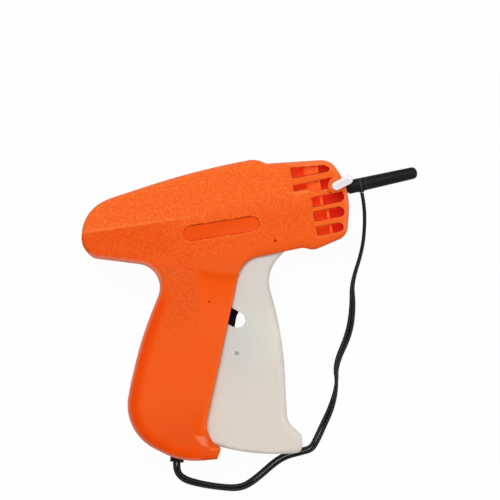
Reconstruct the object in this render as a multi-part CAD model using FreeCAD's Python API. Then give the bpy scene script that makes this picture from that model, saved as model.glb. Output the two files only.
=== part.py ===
import FreeCAD, Part
import math
import os

# Garment tag attacher, lying on its left side. Millimetres.
# While it is drawn, x runs forward along the needle from the nose, y towards the barrel's top,
# and z up from the left side's outer face. export_all() then moves everything to the middle
# of the footprint.

V = FreeCAD.Vector

# ---- casing ----
THICK = 28.0            # casing, side to side
WALL = 2.2
EDGE_ROUND = 2.0        # outer edges of the casing
MID = THICK / 2         # parting plane, and the needle's height
INNER_LOW = WALL
INNER_HIGH = THICK - WALL
UNDERSIDE = -22.6       # barrel's underside, ahead of the grip
RUN_GAP = 0.3           # between pieces that slide past each other
PLAN_ROOM = ((-200, 50), (-150, 50))        # x and y, well clear of the casing all round
PIN_GAP = 0.03          # radial, pins in their holes
PINHOLES = [(-37.4, -17.1), (-72.1, -38.0)]     # moulding holes over the trigger's and the lever's pins
PINHOLE_R = 0.5
PINHOLE_FLOOR = 0.3     # what is left between such a hole and its pin

# corners of the side view as x, y, rounding
BARREL = [
    (-123.9, -1.8, 10), (-119.1, 13.0, 17), (-107.6, 16.4, 31), (-67.1, 21.1, 350),
    (-38.9, 20.9, 10.5), (-34.4, 17.8, 2.9),
]
NOSE = [(-6.1, 13.9, 8), (0.5, -0.7, 30), (-5.3, -21.4, 6.5), (-21.3, -24.7, 6), (-25.7, UNDERSIDE, 5)]
GRIP_REAR = [(-98.7, -106.4, 32), (-122.4, -87.6, 22), (-113.8, -66.4, 62), (-105.1, -47.6, 160)]
WEB = [(-86.6, -19.5, 10.5), (-119.3, -8.5, 4.7)]
GRIP_FRONT = [(-54.0, UNDERSIDE, 11), (-86.5, -96.5, 12.5), (-80.0, -103.9, 1), (-84.5, -111.1, 0)]
BLANK_FRONT = [(-31.0, UNDERSIDE, 2), (-68.0, -109.8, 5)]   # before the grip's front is cut
FRONT_CUT = -29.5       # where that cut starts, under the barrel

LABEL_MIDDLE = (-60.0, -6.85)
LABEL_LENGTH = 34.8
LABEL_WIDTH = 7.0
LABEL_DEPTH = 0.6
LABEL_TILT = -2.6

# ---- louvres in the nose ----
# rear, front, top, bottom
LOUVRES = [
    (-24.5, -5.9, 13.8, 9.0), (-24.6, -4.6, 5.9, 1.3), (-17.9, -3.2, -1.2, -5.5),
    (-18.2, -4.4, -7.9, -12.2), (-18.5, -6.1, -14.8, -18.7),
]
LOUVRE_ROUND = 1.6
TOP_SLOPE = -0.119      # along the first louvre's top edge
TOP_BACK = 3.0          # that edge ends this much short of the louvre's front
STEP_HEIGHT = 1.7       # the second louvre is this much shorter behind the guide wall

# ---- trigger and its hinge ----
TRIGGER_PIVOT = (-37.6, -17.6)
TRIGGER_PIN_R = 1.5
TRIGGER_HUB_R = 4.2
TRIGGER_SIDE_GAP = 0.6  # to the casing's walls, each side
TRIGGER_WALL = 2.0
TRIGGER_ROUND = 1.7
TRIGGER_REACH = 95.4    # hinge to the bottom edge
TRIGGER_SWING = 22.5
BOTTOM_FROM = 240.6     # bottom edge, as angles about the hinge
BOTTOM_TO = 264.0
FRONT_TOE = (3.2, 3.2)  # how far the corner lies beyond the bottom's arc, and its rounding
REAR_TOE = (2.2, 2.0)
# corners from the hinge, as share of the reach, bearing, rounding
TRIGGER_FRONT = [(0.1502, 239.33, 15.5), (0.4270, 263.21, 160), (0.8504, 262.40, 8), (0.9221, 266.41, 2.6)]
TRIGGER_REAR = [(0.8911, 234.72, 12), (0.2916, 206.47, 4)]
DIMPLE = (-64.5, -63.3)
DIMPLE_R = 0.9
DIMPLE_DEPTH = 0.5
CROSS_ARM = 16.04       # lever pivot to the cross pin, halfway through the swing
CROSS_PIN_R = 1.5
EAR_R = 2.8
EAR_ROOTS = [(13.6, 1.3), (7.6, -11.2)]     # from the cross pin, inside the trigger's rear wall

# ---- drive lever ----
LEVER_PIVOT = (-72.2, -37.8)
LEVER_PIN_R = 1.4
LEVER_THICK = 5.0
LEVER_HUB_R = 5.5
LEVER_BOSS_R = 2.3      # casing bosses that carry the lever's pin
BOSS_SLOT_IN = 4.6      # the trigger's curved slot for those bosses, towards the hinge
BOSS_SLOT_OUT = 2.5     # and away from it
HEAD_PIN_LOW = -3.9     # height of the head pin at both ends of its travel
HEAD_PIN_R = 1.5
HEAD_R = 3.2
FORK_LAP = 1.7          # fork past the cross pin at its farthest
FORK_WALL = 1.6
FORK_GAP = 0.4
FORK_ROOM = 2.6         # fork's root short of the cross pin at its nearest
LOBE = [(-70.0, -33.5, 2), (-58.8, -43.8, 0.6), (-61.3, -46.8, 5), (-64.3, -54.4, 1.2), (-76.0, -45.0, 0)]

# ---- slide, rod and return spring ----
SLIDE_PLATE = 2.5
SLIDE_HALF_WIDTH = 5.5
SLIDE_EDGE_HIGH = 2.3   # slide's plates above and below the head pin's slot
SLIDE_EDGE_LOW = 1.1
SLIDE_REAR = 5.5        # behind the head pin
WEB_REAR = 4.6          # slide's cross wall, ahead of the head pin
WEB_THICK = 1.6
WEB_BOTTOM = -3.2
SLOT_GAP = 0.85         # fore and aft of the head pin
SLOT_LAP = 0.5          # above and below the head pin's travel
RAIL_HEIGHT = 2.0
RAIL_LAP = 2.1          # how far the rails reach over the slide's plates
RAIL_REAR = -104.0
ROD_R = 0.65
ROD_GAP = 0.15
ROD_TIP = -23.5
SPRING_R = 2.9
SPRING_WIRE_R = 0.4
SPRING_TURNS = 8
SPRING_RUNS = 8         # straight runs in one turn
STOP_FRONT = -32.8
STOP_THICK = 1.8
STOP_HALF_HEIGHT = 5.0

# ---- needle, its seat and cap ----
NEEDLE_R = 1.15
NEEDLE_BORE_R = 0.85
NEEDLE_TIP = 28.5
NEEDLE_SLIT = 0.6
NEEDLE_POINT = 5.5      # length of the slanted point
BASE_R = 2.5
BASE_FRONT = 0.8
BASE_GAP = 0.1
CHANNEL_REAR = -22.5
CHANNEL_FRONT = -12.5
CHANNEL_WIDTH = 2.0
MOUTH_WIDTH = 6.0       # clip slot in the casing's top and underside
SEAT_REAR = -24.2
SEAT_HALF_HEIGHT = 7.0
SEAT_LOW = 8.0
SEAT_HIGH = 18.3
KNIFE_THICK = 0.4
KNIFE_LOW = 1.3
KNIFE_HIGH = 6.0
CAP_REAR = -0.6
CAP_COLLAR_END = 5.4
CAP_COLLAR_R = 3.1
CAP_SHEATH_R = 3.05
CAP_TIP_R = 2.7
CAP_TIP = 31.4
CAP_TIP_ROUND = 1.6
CAP_BORE_R = 1.75
CAP_END_WALL = 2.0
CAP_SEAT_DEPTH = 2.0
LUG_X = 5.1             # cord's lug under the cap
LUG_FACE = -3.5
LUG_LENGTH = 2.4
LUG_WIDTH = 3.4
LUG_DROP = 5.5          # cord runs straight down from the lug for this much

# ---- needle lock ----
KNOB = (-5.3, 1.85)
KNOB_RING_R = 4.0
KNOB_RING_HEIGHT = 0.8  # ring and knob stand on the right side's face
KNOB_RING_TOP = THICK + KNOB_RING_HEIGHT
KNOB_R = 2.35
KNOB_REACH = 5.6        # between the centres of its two round ends
KNOB_TILT = 16.0
KNOB_GAP = 0.3          # ring to the knob's underside
KNOB_THICK = 2.7
KNOB_UNDER = KNOB_RING_TOP + KNOB_GAP
KNOB_TOP = KNOB_UNDER + KNOB_THICK
KNOB_SHAFT_R = 1.9
CAM_R = 3.0
CAM_THICK = 1.4
CAM_GAP = 0.25

# ---- clip feed ----
WHEEL = (-26.9, -8.0)
WHEEL_R = 3.6
WHEEL_TIP_R = 4.6
WHEEL_TEETH = 12
WHEEL_THICK = 3.0
WHEEL_PIN_R = 1.2
FEED_BOSS_R = 2.4
PAWL = (-40.5, -9.6)
PAWL_PIN_R = 1.0
PAWL_HUB_R = 2.0
PAWL_THICK = 2.6
PAWL_NOSE = (-32.3, -6.9)
LEAF_THICK = 0.4

# ---- guide behind the louvres ----
GUIDE_FLOOR = 18.6
GUIDE_PLATE = 1.8
GUIDE_WALL_TOP = 24.6
GUIDE_WALL_X = (-18.7, -13.0)
GUIDE_RIB_TOP = 25.4
GUIDE_RIB = 1.2
GUIDE_RIBS = [((-12.3, 20.0), (-13.7, -6.7)), ((-11.7, -6.7), (-12.0, -25.0))]      # top and foot

# ---- screws, from the left ----
SCREWS = [(-112.5, 1.5), (-75.0, 14.4), (-34.8, 12.2), (-102.0, -93.5), (-27.0, -18.0)]
SCREW_R = 1.2
SCREW_HEAD_R = 2.3
SCREW_HEAD = 1.6
SCREW_SINK = 2.6        # depth of the counterbore
SCREW_END = 23.0
SCREW_BOSS_R = 2.9

# ---- cord ----
GROMMET = (-100.7, -105.6)
GROMMET_AIM = 253.0     # way the cord leaves, in degrees
GROMMET_R = 3.1
GROMMET_FLANGE = 1.3
GROMMET_NECK_R = 2.2
GROMMET_DEPTH = 5.0
KNOT_R = 2.6
KNOT_LENGTH = 4.0
STRAND_R = 0.65
STRAND_APART = 0.8      # each strand from the pair's middle
# the pair's middle as x, y, z, and how far the pair has twisted, in degrees
CORD_ROUTE = [
    (*GROMMET, MID, 180), (-101.8, -109.3, MID, 180), (-99.9, -113.4, 13.2, 172),
    (-94.1, -116.8, 8.1, 155), (-84.5, -120.6, 2.0, 140), (-74.8, -123.6, 1.2, 160),
    (-66.7, -119.9, 0.9, 180), (-54.9, -114.0, 0.8, 180), (-44.7, -113.6, 0.8, 180),
    (-36.2, -106.6, 1.0, 185), (-27.4, -95.8, 1.3, 215), (-22.5, -85.3, 1.6, 265),
    (-21.9, -76.8, 1.5, 310), (-13.0, -63.9, 0.9, 355), (-8.6, -52.1, 1.4, 405),
    (-7.3, -42.8, 2.1, 440), (0.2, -29.3, 4.4, 450), (3.4, -18.2, 10.0, 450),
    (LUG_X, LUG_FACE - LUG_DROP, MID, 450), (LUG_X, LUG_FACE, MID, 450),
]


# ---------------------------------------------------------------- helpers
def polar(centre, radius, angle):
    turn = math.radians(angle)
    return (centre[0] + radius * math.cos(turn), centre[1] + radius * math.sin(turn))


def bearing(start, end):
    return math.degrees(math.atan2(end[1] - start[1], end[0] - start[0]))


def distance(start, end):
    return math.hypot(end[0] - start[0], end[1] - start[1])


def corner_arc(before, here, after, radius):
    # start, middle and end of the arc that rounds one corner
    into = (here - before).normalize()
    away = (after - here).normalize()
    half = into.getAngle(away) / 2
    if radius == 0 or half < 1e-6:
        return None
    reach = radius * math.tan(half)
    inward = (away - into).normalize()
    middle = here + inward * (radius / math.cos(half) - radius)
    return (here - into * reach, middle, here + away * reach)


def rounded_wire(corners, z=0.0):
    points = [V(c[0], c[1], z) for c in corners]
    count = len(corners)
    arcs = []
    for i in range(count):
        arcs.append(corner_arc(points[i - 1], points[i], points[(i + 1) % count], corners[i][2]))
    edges = []
    for i in range(count):
        following = (i + 1) % count
        if arcs[i]:
            edges.append(Part.Arc(*arcs[i]).toShape())
        start = arcs[i][2] if arcs[i] else points[i]
        end = arcs[following][0] if arcs[following] else points[following]
        if start.distanceToPoint(end) > 1e-4:
            edges.append(Part.makeLine(start, end))
    return Part.Wire(edges)


def prism(corners, low, high):
    return Part.Face(rounded_wire(corners, low)).extrude(V(0, 0, high - low))


def inset_prism(corners, inset, low, high):
    face = Part.Face(rounded_wire(corners, low)).makeOffset2D(-inset)
    return face.extrude(V(0, 0, high - low))


def box(x, y, z):
    return Part.makeBox(x[1] - x[0], y[1] - y[0], z[1] - z[0], V(x[0], y[0], z[0]))


def post(place, radius, low, high):
    return Part.makeCylinder(radius, high - low, V(place[0], place[1], low))


def rod(start, end, radius):
    along = end - start
    return Part.makeCylinder(radius, along.Length, start, along)


def rounded_path(points):
    # straight runs joined by arcs as wide as the shorter run beside each allows
    edges = []
    radii = []
    start = points[0]
    for before, here, after in zip(points, points[1:], points[2:]):
        half = (here - before).getAngle(after - here) / 2
        radius = 0.45 * min(here.distanceToPoint(before), here.distanceToPoint(after)) / math.tan(half)
        arc = corner_arc(before, here, after, radius)
        edges += [Part.LineSegment(start, arc[0]).toShape(), Part.Arc(*arc).toShape()]
        start = arc[2]
        radii.append(round(radius, 1))
    edges.append(Part.LineSegment(start, points[-1]).toShape())
    return Part.Wire(edges), radii


def tube(path, points, radius):
    section = Part.Wire(Part.makeCircle(radius, points[0], points[1] - points[0]))
    return path.makePipeShell([section], True, False)


def bar(start, end, radius, low, high):
    # flat bar with two round ends
    length = distance(start, end)
    corners = [(0, -radius, 0), (length, -radius, 0), (length, radius, 0), (0, radius, 0)]
    flat = prism(corners, low, high)
    flat.rotate(V(0, 0, 0), V(0, 0, 1), bearing(start, end))
    flat.translate(V(start[0], start[1], 0))
    return flat.fuse([post(start, radius, low, high), post(end, radius, low, high)]).removeSplitter()


def sector(centre, inner, outer, start, end, low, high):
    # part of a ring between two angles, anticlockwise from start to end
    span = end - start
    ring = Part.makeCylinder(outer, high - low, V(centre[0], centre[1], low), V(0, 0, 1), span)
    ring.rotate(V(centre[0], centre[1], 0), V(0, 0, 1), start)
    return ring.cut(post(centre, inner, low, high))


def level_edges(shape, heights):
    found = []
    for edge in shape.Edges:
        ends = [v.Point.z for v in edge.Vertexes]
        for height in heights:
            if all(abs(z - height) < 1e-6 for z in ends) and abs(edge.CenterOfMass.z - height) < 1e-6:
                found.append(edge)
    return found


def round_rims(shape, radius):
    box_now = shape.BoundBox
    return shape.makeFillet(radius, level_edges(shape, [box_now.ZMin, box_now.ZMax]))


# ---------------------------------------------------------------- linkage, worked out from its reaches
PIVOTS_APART = distance(TRIGGER_PIVOT, LEVER_PIVOT)
PIVOTS_BEARING = bearing(TRIGGER_PIVOT, LEVER_PIVOT) % 360
HALF_SWING = math.radians(TRIGGER_SWING / 2)
CROSS_REACH = PIVOTS_APART + CROSS_ARM
CROSS_PIN = polar(TRIGGER_PIVOT, CROSS_REACH, PIVOTS_BEARING + TRIGGER_SWING / 2)
LEVER_SWING = 2 * math.degrees(math.atan2(
    CROSS_REACH * math.sin(HALF_SWING), CROSS_REACH * math.cos(HALF_SWING) - PIVOTS_APART))
LEVER_REACH = (HEAD_PIN_LOW - LEVER_PIVOT[1]) / math.cos(math.radians(LEVER_SWING / 2))
HEAD_PIN = polar(LEVER_PIVOT, LEVER_REACH, 90 + LEVER_SWING / 2)
STROKE = 2 * LEVER_REACH * math.sin(math.radians(LEVER_SWING / 2))
HEAD_PIN_RISE = LEVER_REACH * (1 - math.cos(math.radians(LEVER_SWING / 2)))
SLOT_LOW = HEAD_PIN[1] - HEAD_PIN_R - SLOT_LAP
SLOT_HIGH = HEAD_PIN[1] + HEAD_PIN_RISE + HEAD_PIN_R + SLOT_LAP
SLIDE_BOTTOM = SLOT_LOW - SLIDE_EDGE_LOW
SLIDE_TOP = SLOT_HIGH + SLIDE_EDGE_HIGH


# ---------------------------------------------------------------- casing
def casing_outline():
    return BARREL + NOSE + BLANK_FRONT + GRIP_REAR + WEB


def casing_shell():
    blank = round_rims(prism(casing_outline(), 0, THICK), EDGE_ROUND)
    ahead = [(FRONT_CUT, UNDERSIDE, 0)] + GRIP_FRONT + [(FRONT_CUT, GRIP_FRONT[-1][1], 0)]
    blank = blank.cut(prism(ahead, -1, THICK + 1))
    hollow = inset_prism(casing_outline(), WALL, INNER_LOW, INNER_HIGH)
    gate_front = TRIGGER_PIVOT[0] + TRIGGER_HUB_R + 1.4
    gate_height = (UNDERSIDE - WALL, UNDERSIDE + WALL + 1)
    gate = box((GRIP_FRONT[0][0], gate_front), gate_height, (INNER_LOW, INNER_HIGH))
    return blank.cut([hollow, gate])


def louvre_windows():
    windows = []
    for row, (rear, front, top, bottom) in enumerate(LOUVRES):
        corners = [(rear, top, 0), (rear, bottom, 0)]
        if row == 1:
            step = GUIDE_WALL_X[0]
            corners[1] = (rear, bottom + STEP_HEIGHT, 0)
            corners += [(step, bottom + STEP_HEIGHT, 0), (step + STEP_HEIGHT, bottom, 0)]
        corners.append((front, bottom, LOUVRE_ROUND / 2 if row == 0 else LOUVRE_ROUND))
        if row == 0:
            end = front - TOP_BACK
            corners.append((end, top + TOP_SLOPE * (end - rear), LOUVRE_ROUND))
        else:
            corners.append((front, top, LOUVRE_ROUND))
        windows.append(prism(corners, INNER_HIGH - 1, THICK + 1))
    return windows


def label_recess():
    half_length = LABEL_LENGTH / 2
    half_width = LABEL_WIDTH / 2
    turn = half_width - 0.3
    corners = [
        (-half_length, -half_width, turn), (half_length, -half_width, turn),
        (half_length, half_width, turn), (-half_length, half_width, turn),
    ]
    recess = prism(corners, THICK - LABEL_DEPTH, THICK + 1)
    recess.rotate(V(0, 0, 0), V(0, 0, 1), LABEL_TILT)
    recess.translate(V(LABEL_MIDDLE[0], LABEL_MIDDLE[1], 0))
    return recess


def rails(low, high):
    front = HEAD_PIN[0] + WEB_REAR + WEB_THICK + STROKE + 1
    upper = SLIDE_TOP + RUN_GAP
    lower = SLIDE_BOTTOM - RUN_GAP
    return [
        box((RAIL_REAR, front), (upper, upper + RAIL_HEIGHT), (low, high)),
        box((RAIL_REAR, front), (lower - RAIL_HEIGHT, lower), (low, high)),
    ]


def spring_stop(low, high):
    return box((STOP_FRONT - STOP_THICK, STOP_FRONT), (-STOP_HALF_HEIGHT, STOP_HALF_HEIGHT), (low, high))


def pin_ends():
    # how near the trigger's pin comes to the casing's outer faces
    return (WALL / 2, THICK - WALL / 2)


def casing_holes():
    low, high = pin_ends()
    axis_far = V(BASE_FRONT + 2, 0, MID)
    holes = [
        post(TRIGGER_PIVOT, TRIGGER_PIN_R + PIN_GAP, low, high),
        post(LEVER_PIVOT, LEVER_PIN_R + PIN_GAP, INNER_LOW, INNER_HIGH),
        rod(V(CHANNEL_FRONT, 0, MID), axis_far, BASE_R + 2 * BASE_GAP),
        cam_room(),
        rod(V(STOP_FRONT - STOP_THICK - 1, 0, MID), V(STOP_FRONT + 1, 0, MID), ROD_R + ROD_GAP),
        grommet_seat(),
    ]
    half_mouth = MOUTH_WIDTH / 2
    for y in [(SEAT_HALF_HEIGHT, 20), (-30, -SEAT_HALF_HEIGHT - 8)]:
        holes.append(box((CHANNEL_REAR, CHANNEL_FRONT), y, (MID - half_mouth, MID + half_mouth)))
    return holes


def feed_bosses(low_side):
    lever_low = MID - LEVER_THICK / 2 - TRIGGER_SIDE_GAP
    wheel_low = MID - WHEEL_THICK / 2 - RUN_GAP
    pawl_low = MID - PAWL_THICK / 2 - RUN_GAP
    bosses = []
    for place, radius, reach in [
        (LEVER_PIVOT, LEVER_BOSS_R, lever_low), (WHEEL, FEED_BOSS_R, wheel_low),
        (PAWL, PAWL_HUB_R, pawl_low),
    ]:
        low, high = (INNER_LOW, reach) if low_side else (THICK - reach, INNER_HIGH)
        bosses.append(post(place, radius, low, high))
    return bosses


def feed_pin_span():
    return (MID - 6.0, MID + 6.0)


def feed_pin_holes():
    low, high = feed_pin_span()
    return [post(WHEEL, WHEEL_PIN_R + PIN_GAP, low, high), post(PAWL, PAWL_PIN_R + PIN_GAP, low, high)]


def right_body(shell):
    half = shell.common(box(*PLAN_ROOM, (MID, THICK + 1)))
    extras = rails(MID + SLIDE_HALF_WIDTH - RAIL_LAP, INNER_HIGH) + feed_bosses(False)
    extras.append(spring_stop(MID, INNER_HIGH))
    extras += [post(place, SCREW_BOSS_R, MID, INNER_HIGH) for place in SCREWS]
    extras.append(post(KNOB, KNOB_RING_R, INNER_HIGH, KNOB_RING_TOP))
    half = half.fuse(extras)
    holes = casing_holes() + feed_pin_holes() + [label_recess()]
    for place, pin_end in zip(PINHOLES, (pin_ends()[1], INNER_HIGH)):
        holes.append(post(place, PINHOLE_R, pin_end + PINHOLE_FLOOR, THICK + 1))
    holes += [post(place, SCREW_R + PIN_GAP, MID, SCREW_END + 0.5) for place in SCREWS]
    holes.append(post(KNOB, KNOB_SHAFT_R + PIN_GAP, SEAT_HIGH, KNOB_RING_TOP + 1))
    windows = [w.cut(post(KNOB, KNOB_RING_R, 0, THICK + 2)) for w in louvre_windows()]
    return half.cut(holes + windows).removeSplitter()


def left_body(shell):
    half = shell.common(box(*PLAN_ROOM, (-1, MID)))
    extras = rails(INNER_LOW, MID - SLIDE_HALF_WIDTH + RAIL_LAP) + feed_bosses(True)
    extras.append(spring_stop(INNER_LOW, MID))
    extras += [post(place, SCREW_BOSS_R, INNER_LOW, MID) for place in SCREWS]
    half = half.fuse(extras)
    holes = casing_holes() + feed_pin_holes()
    holes += [post(place, SCREW_R + RUN_GAP, 0, MID + 1) for place in SCREWS]
    holes += [post(place, SCREW_HEAD_R + RUN_GAP, -1, SCREW_SINK) for place in SCREWS]
    return half.cut(holes).removeSplitter()


def casing_screws():
    screws = []
    for place in SCREWS:
        head = post(place, SCREW_HEAD_R, SCREW_SINK - SCREW_HEAD, SCREW_SINK)
        shank = post(place, SCREW_R, SCREW_SINK, SCREW_END)
        slot = box(
            (place[0] - SCREW_HEAD_R, place[0] + SCREW_HEAD_R), (place[1] - 0.3, place[1] + 0.3),
            (0, SCREW_SINK - SCREW_HEAD + 0.7))
        screws.append(head.fuse(shank).cut(slot))
    return Part.makeCompound(screws)


# ---------------------------------------------------------------- trigger
def trigger_span():
    return (INNER_LOW + TRIGGER_SIDE_GAP, INNER_HIGH - TRIGGER_SIDE_GAP)


def trigger_corners(places):
    return [(*polar(TRIGGER_PIVOT, share * TRIGGER_REACH, aim), turn) for share, aim, turn in places]


def trigger_outline():
    half = math.radians((BOTTOM_TO - BOTTOM_FROM) / 2)
    sag = polar(TRIGGER_PIVOT, TRIGGER_REACH / math.cos(half), (BOTTOM_FROM + BOTTOM_TO) / 2)
    front_end = polar(TRIGGER_PIVOT, TRIGGER_REACH, BOTTOM_TO)
    rear_end = polar(TRIGGER_PIVOT, TRIGGER_REACH, BOTTOM_FROM)
    front_low = polar(front_end, FRONT_TOE[0], BOTTOM_TO + 90)
    rear_low = polar(rear_end, REAR_TOE[0], BOTTOM_FROM - 90)
    px, py = TRIGGER_PIVOT
    hub = TRIGGER_HUB_R
    turn = hub - 0.1
    corners = [(px - hub, py + hub, turn), (px + hub, py + hub, turn), (px + hub + 0.3, py - hub, 1.9)]
    corners += trigger_corners(TRIGGER_FRONT)
    corners += [(*front_low, FRONT_TOE[1]), (*sag, TRIGGER_REACH - 0.2), (*rear_low, REAR_TOE[1])]
    return corners + trigger_corners(TRIGGER_REAR)


def boss_slot(low, high):
    # curved slot in the trigger that the lever's bosses pass along
    end = PIVOTS_BEARING + TRIGGER_SWING
    rear = PIVOTS_BEARING - TRIGGER_SWING
    inner, outer = PIVOTS_APART - BOSS_SLOT_IN, PIVOTS_APART + BOSS_SLOT_OUT
    slot = sector(TRIGGER_PIVOT, inner, outer, rear, end, low, high)
    return slot.fuse(post(polar(TRIGGER_PIVOT, (inner + outer) / 2, end), (outer - inner) / 2, low, high))


def trigger_ears(low, high):
    top = polar(CROSS_PIN, EAR_R, 100)
    bottom = polar(CROSS_PIN, EAR_R, 260)
    roots = [(CROSS_PIN[0] + x, CROSS_PIN[1] + y, 0) for x, y in EAR_ROOTS]
    corners = [(top[0], top[1], 0)] + roots + [(bottom[0], bottom[1], 0)]
    ears = []
    for z in [(low, low + TRIGGER_WALL), (high - TRIGGER_WALL, high)]:
        ears += [prism(corners, *z), post(CROSS_PIN, EAR_R, *z)]
    return ears


def trigger():
    low, high = trigger_span()
    body = round_rims(prism(trigger_outline(), low, high), TRIGGER_ROUND)
    hollow = inset_prism(trigger_outline(), TRIGGER_WALL, low + TRIGGER_WALL, high - TRIGGER_WALL)
    rear = hollow.copy()
    rear.translate(V(-3 * TRIGGER_WALL, TRIGGER_WALL, 0))
    hub = post(TRIGGER_PIVOT, TRIGGER_HUB_R, low, high)
    body = body.cut([hollow, rear]).fuse([hub] + trigger_ears(low, high))
    bores = [
        post(TRIGGER_PIVOT, TRIGGER_PIN_R + 2 * PIN_GAP, 0, THICK),
        post(CROSS_PIN, CROSS_PIN_R + PIN_GAP, 0, THICK),
        post(DIMPLE, DIMPLE_R, high - DIMPLE_DEPTH, high + 1),
        boss_slot(0, THICK),
    ]
    return body.cut(bores).removeSplitter()


# ---------------------------------------------------------------- drive
def lever_span():
    return (MID - LEVER_THICK / 2, MID + LEVER_THICK / 2)


def drive_lever():
    low, high = lever_span()
    aim = bearing(LEVER_PIVOT, CROSS_PIN)
    slot_half = CROSS_PIN_R + FORK_GAP
    fork_half = slot_half + FORK_WALL
    root = CROSS_REACH - PIVOTS_APART - FORK_ROOM
    end = distance(LEVER_PIVOT, CROSS_PIN) + FORK_LAP
    arm = prism([
        (0, -fork_half, 0), (end, -fork_half, 1.5), (end, fork_half, 1.5), (0, fork_half, 0),
    ], low, high)
    slot = box((root, end + 1), (-slot_half, slot_half), (low - 1, high + 1))
    fork = arm.cut(slot.fuse(post((root, 0), slot_half, low - 1, high + 1)))
    fork.rotate(V(0, 0, 0), V(0, 0, 1), aim)
    fork.translate(V(LEVER_PIVOT[0], LEVER_PIVOT[1], 0))
    body = bar(LEVER_PIVOT, HEAD_PIN, HEAD_R, low, high)
    body = body.fuse([post(LEVER_PIVOT, LEVER_HUB_R, low, high), fork, prism(LOBE, low, high)])
    bores = [
        post(LEVER_PIVOT, LEVER_PIN_R + 2 * PIN_GAP, 0, THICK),
        post(HEAD_PIN, HEAD_PIN_R + PIN_GAP, 0, THICK),
    ]
    return body.cut(bores).removeSplitter()


def web_front():
    return HEAD_PIN[0] + WEB_REAR + WEB_THICK


def slide_block():
    low, high = MID - SLIDE_HALF_WIDTH, MID + SLIDE_HALF_WIDTH
    x = (HEAD_PIN[0] - SLIDE_REAR, web_front())
    plates = [
        box(x, (SLIDE_BOTTOM, SLIDE_TOP), (low, low + SLIDE_PLATE)),
        box(x, (SLIDE_BOTTOM, SLIDE_TOP), (high - SLIDE_PLATE, high)),
    ]
    web = box((HEAD_PIN[0] + WEB_REAR, web_front()), (WEB_BOTTOM, SLIDE_TOP), (low, high))
    rear = HEAD_PIN[0] - HEAD_PIN_R - SLOT_GAP
    front = HEAD_PIN[0] + HEAD_PIN_R + SLOT_GAP
    slot = prism([
        (rear, SLOT_LOW, 1), (front, SLOT_LOW, 1), (front, SLOT_HIGH, 1), (rear, SLOT_HIGH, 1),
    ], 0, THICK)
    bore = rod(V(HEAD_PIN[0] + WEB_REAR - 1, 0, MID), V(web_front() + 1, 0, MID), ROD_R)
    return web.fuse(plates).cut([slot, bore]).removeSplitter()


def plunger_rod():
    return rod(V(HEAD_PIN[0] + WEB_REAR, 0, MID), V(ROD_TIP, 0, MID), ROD_R)


def return_spring():
    # a coil drawn as short straight runs joined by arcs
    start = web_front() + SPRING_WIRE_R
    length = STOP_FRONT - STOP_THICK - SPRING_WIRE_R - start
    count = SPRING_TURNS * SPRING_RUNS
    points = []
    for i in range(count + 1):
        y, z = polar((0, MID), SPRING_R, 360 * i / SPRING_RUNS)
        points.append(V(start + length * i / count, y, z))
    return tube(rounded_path(points)[0], points, SPRING_WIRE_R)


# ---------------------------------------------------------------- nose
def nose_inner(low, high):
    # the room inside the casing, less a running gap
    return inset_prism(casing_outline(), WALL + RUN_GAP, low, high)


def cam_room():
    return post(KNOB, CAM_R + CAM_GAP, SEAT_HIGH - CAM_THICK - CAM_GAP, SEAT_HIGH + CAM_GAP)


def needle_seat():
    block = box((SEAT_REAR, 0), (-SEAT_HALF_HEIGHT, SEAT_HALF_HEIGHT), (SEAT_LOW, SEAT_HIGH))
    block = block.common(nose_inner(SEAT_LOW, SEAT_HIGH))
    half = CHANNEL_WIDTH / 2
    wheel_half = WHEEL_THICK / 2 + RUN_GAP
    wheel_front = WHEEL[0] + WHEEL_TIP_R + RUN_GAP
    wheel_top = WHEEL[1] + WHEEL_TIP_R + RUN_GAP
    cuts = [
        box((CHANNEL_REAR, CHANNEL_FRONT), (-20, 20), (MID - half, MID + half)),
        box((SEAT_REAR - 1, wheel_front), (-20, wheel_top), (MID - wheel_half, MID + wheel_half)),
        rod(V(SEAT_REAR - 1, 0, MID), V(CHANNEL_REAR + 1, 0, MID), ROD_R + ROD_GAP),
        rod(V(CHANNEL_FRONT, 0, MID), V(0, 0, MID), BASE_R + BASE_GAP),
        cam_room(),
    ]
    return block.cut(cuts)


def needle_base():
    start = V(CHANNEL_FRONT + BASE_GAP, 0, MID)
    bore = rod(start, V(BASE_FRONT + 1, 0, MID), NEEDLE_R + PIN_GAP)
    return rod(start, V(BASE_FRONT, 0, MID), BASE_R).cut(bore)


def needle_tube():
    start = V(CHANNEL_FRONT + BASE_GAP, 0, MID)
    tube = rod(start, V(NEEDLE_TIP, 0, MID), NEEDLE_R)
    bore = rod(start, V(NEEDLE_TIP + 1, 0, MID), NEEDLE_BORE_R)
    half = NEEDLE_SLIT / 2
    slit = box((BASE_FRONT, NEEDLE_TIP + 1), (-NEEDLE_R - 1, 0), (MID - half, MID + half))
    point = Part.makeBox(4 * NEEDLE_POINT, NEEDLE_POINT, NEEDLE_POINT, V(0, -NEEDLE_POINT, -NEEDLE_POINT / 2))
    point.rotate(V(0, 0, 0), V(0, 0, 1), math.degrees(math.atan2(2 * NEEDLE_R, NEEDLE_POINT)))
    point.translate(V(NEEDLE_TIP - NEEDLE_POINT, -NEEDLE_R, MID))
    return tube.cut([bore, slit, point])


def knife():
    corners = [(KNIFE_LOW, 0), (KNIFE_HIGH, 0), (KNIFE_HIGH, KNIFE_THICK), (KNIFE_LOW + 0.8, KNIFE_THICK)]
    low = MID - CHANNEL_WIDTH / 2 + 0.1
    wire = Part.makePolygon([V(CHANNEL_FRONT - t, y, low) for y, t in corners + corners[:1]])
    return Part.Face(wire).extrude(V(0, 0, CHANNEL_WIDTH - 0.2))


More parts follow.
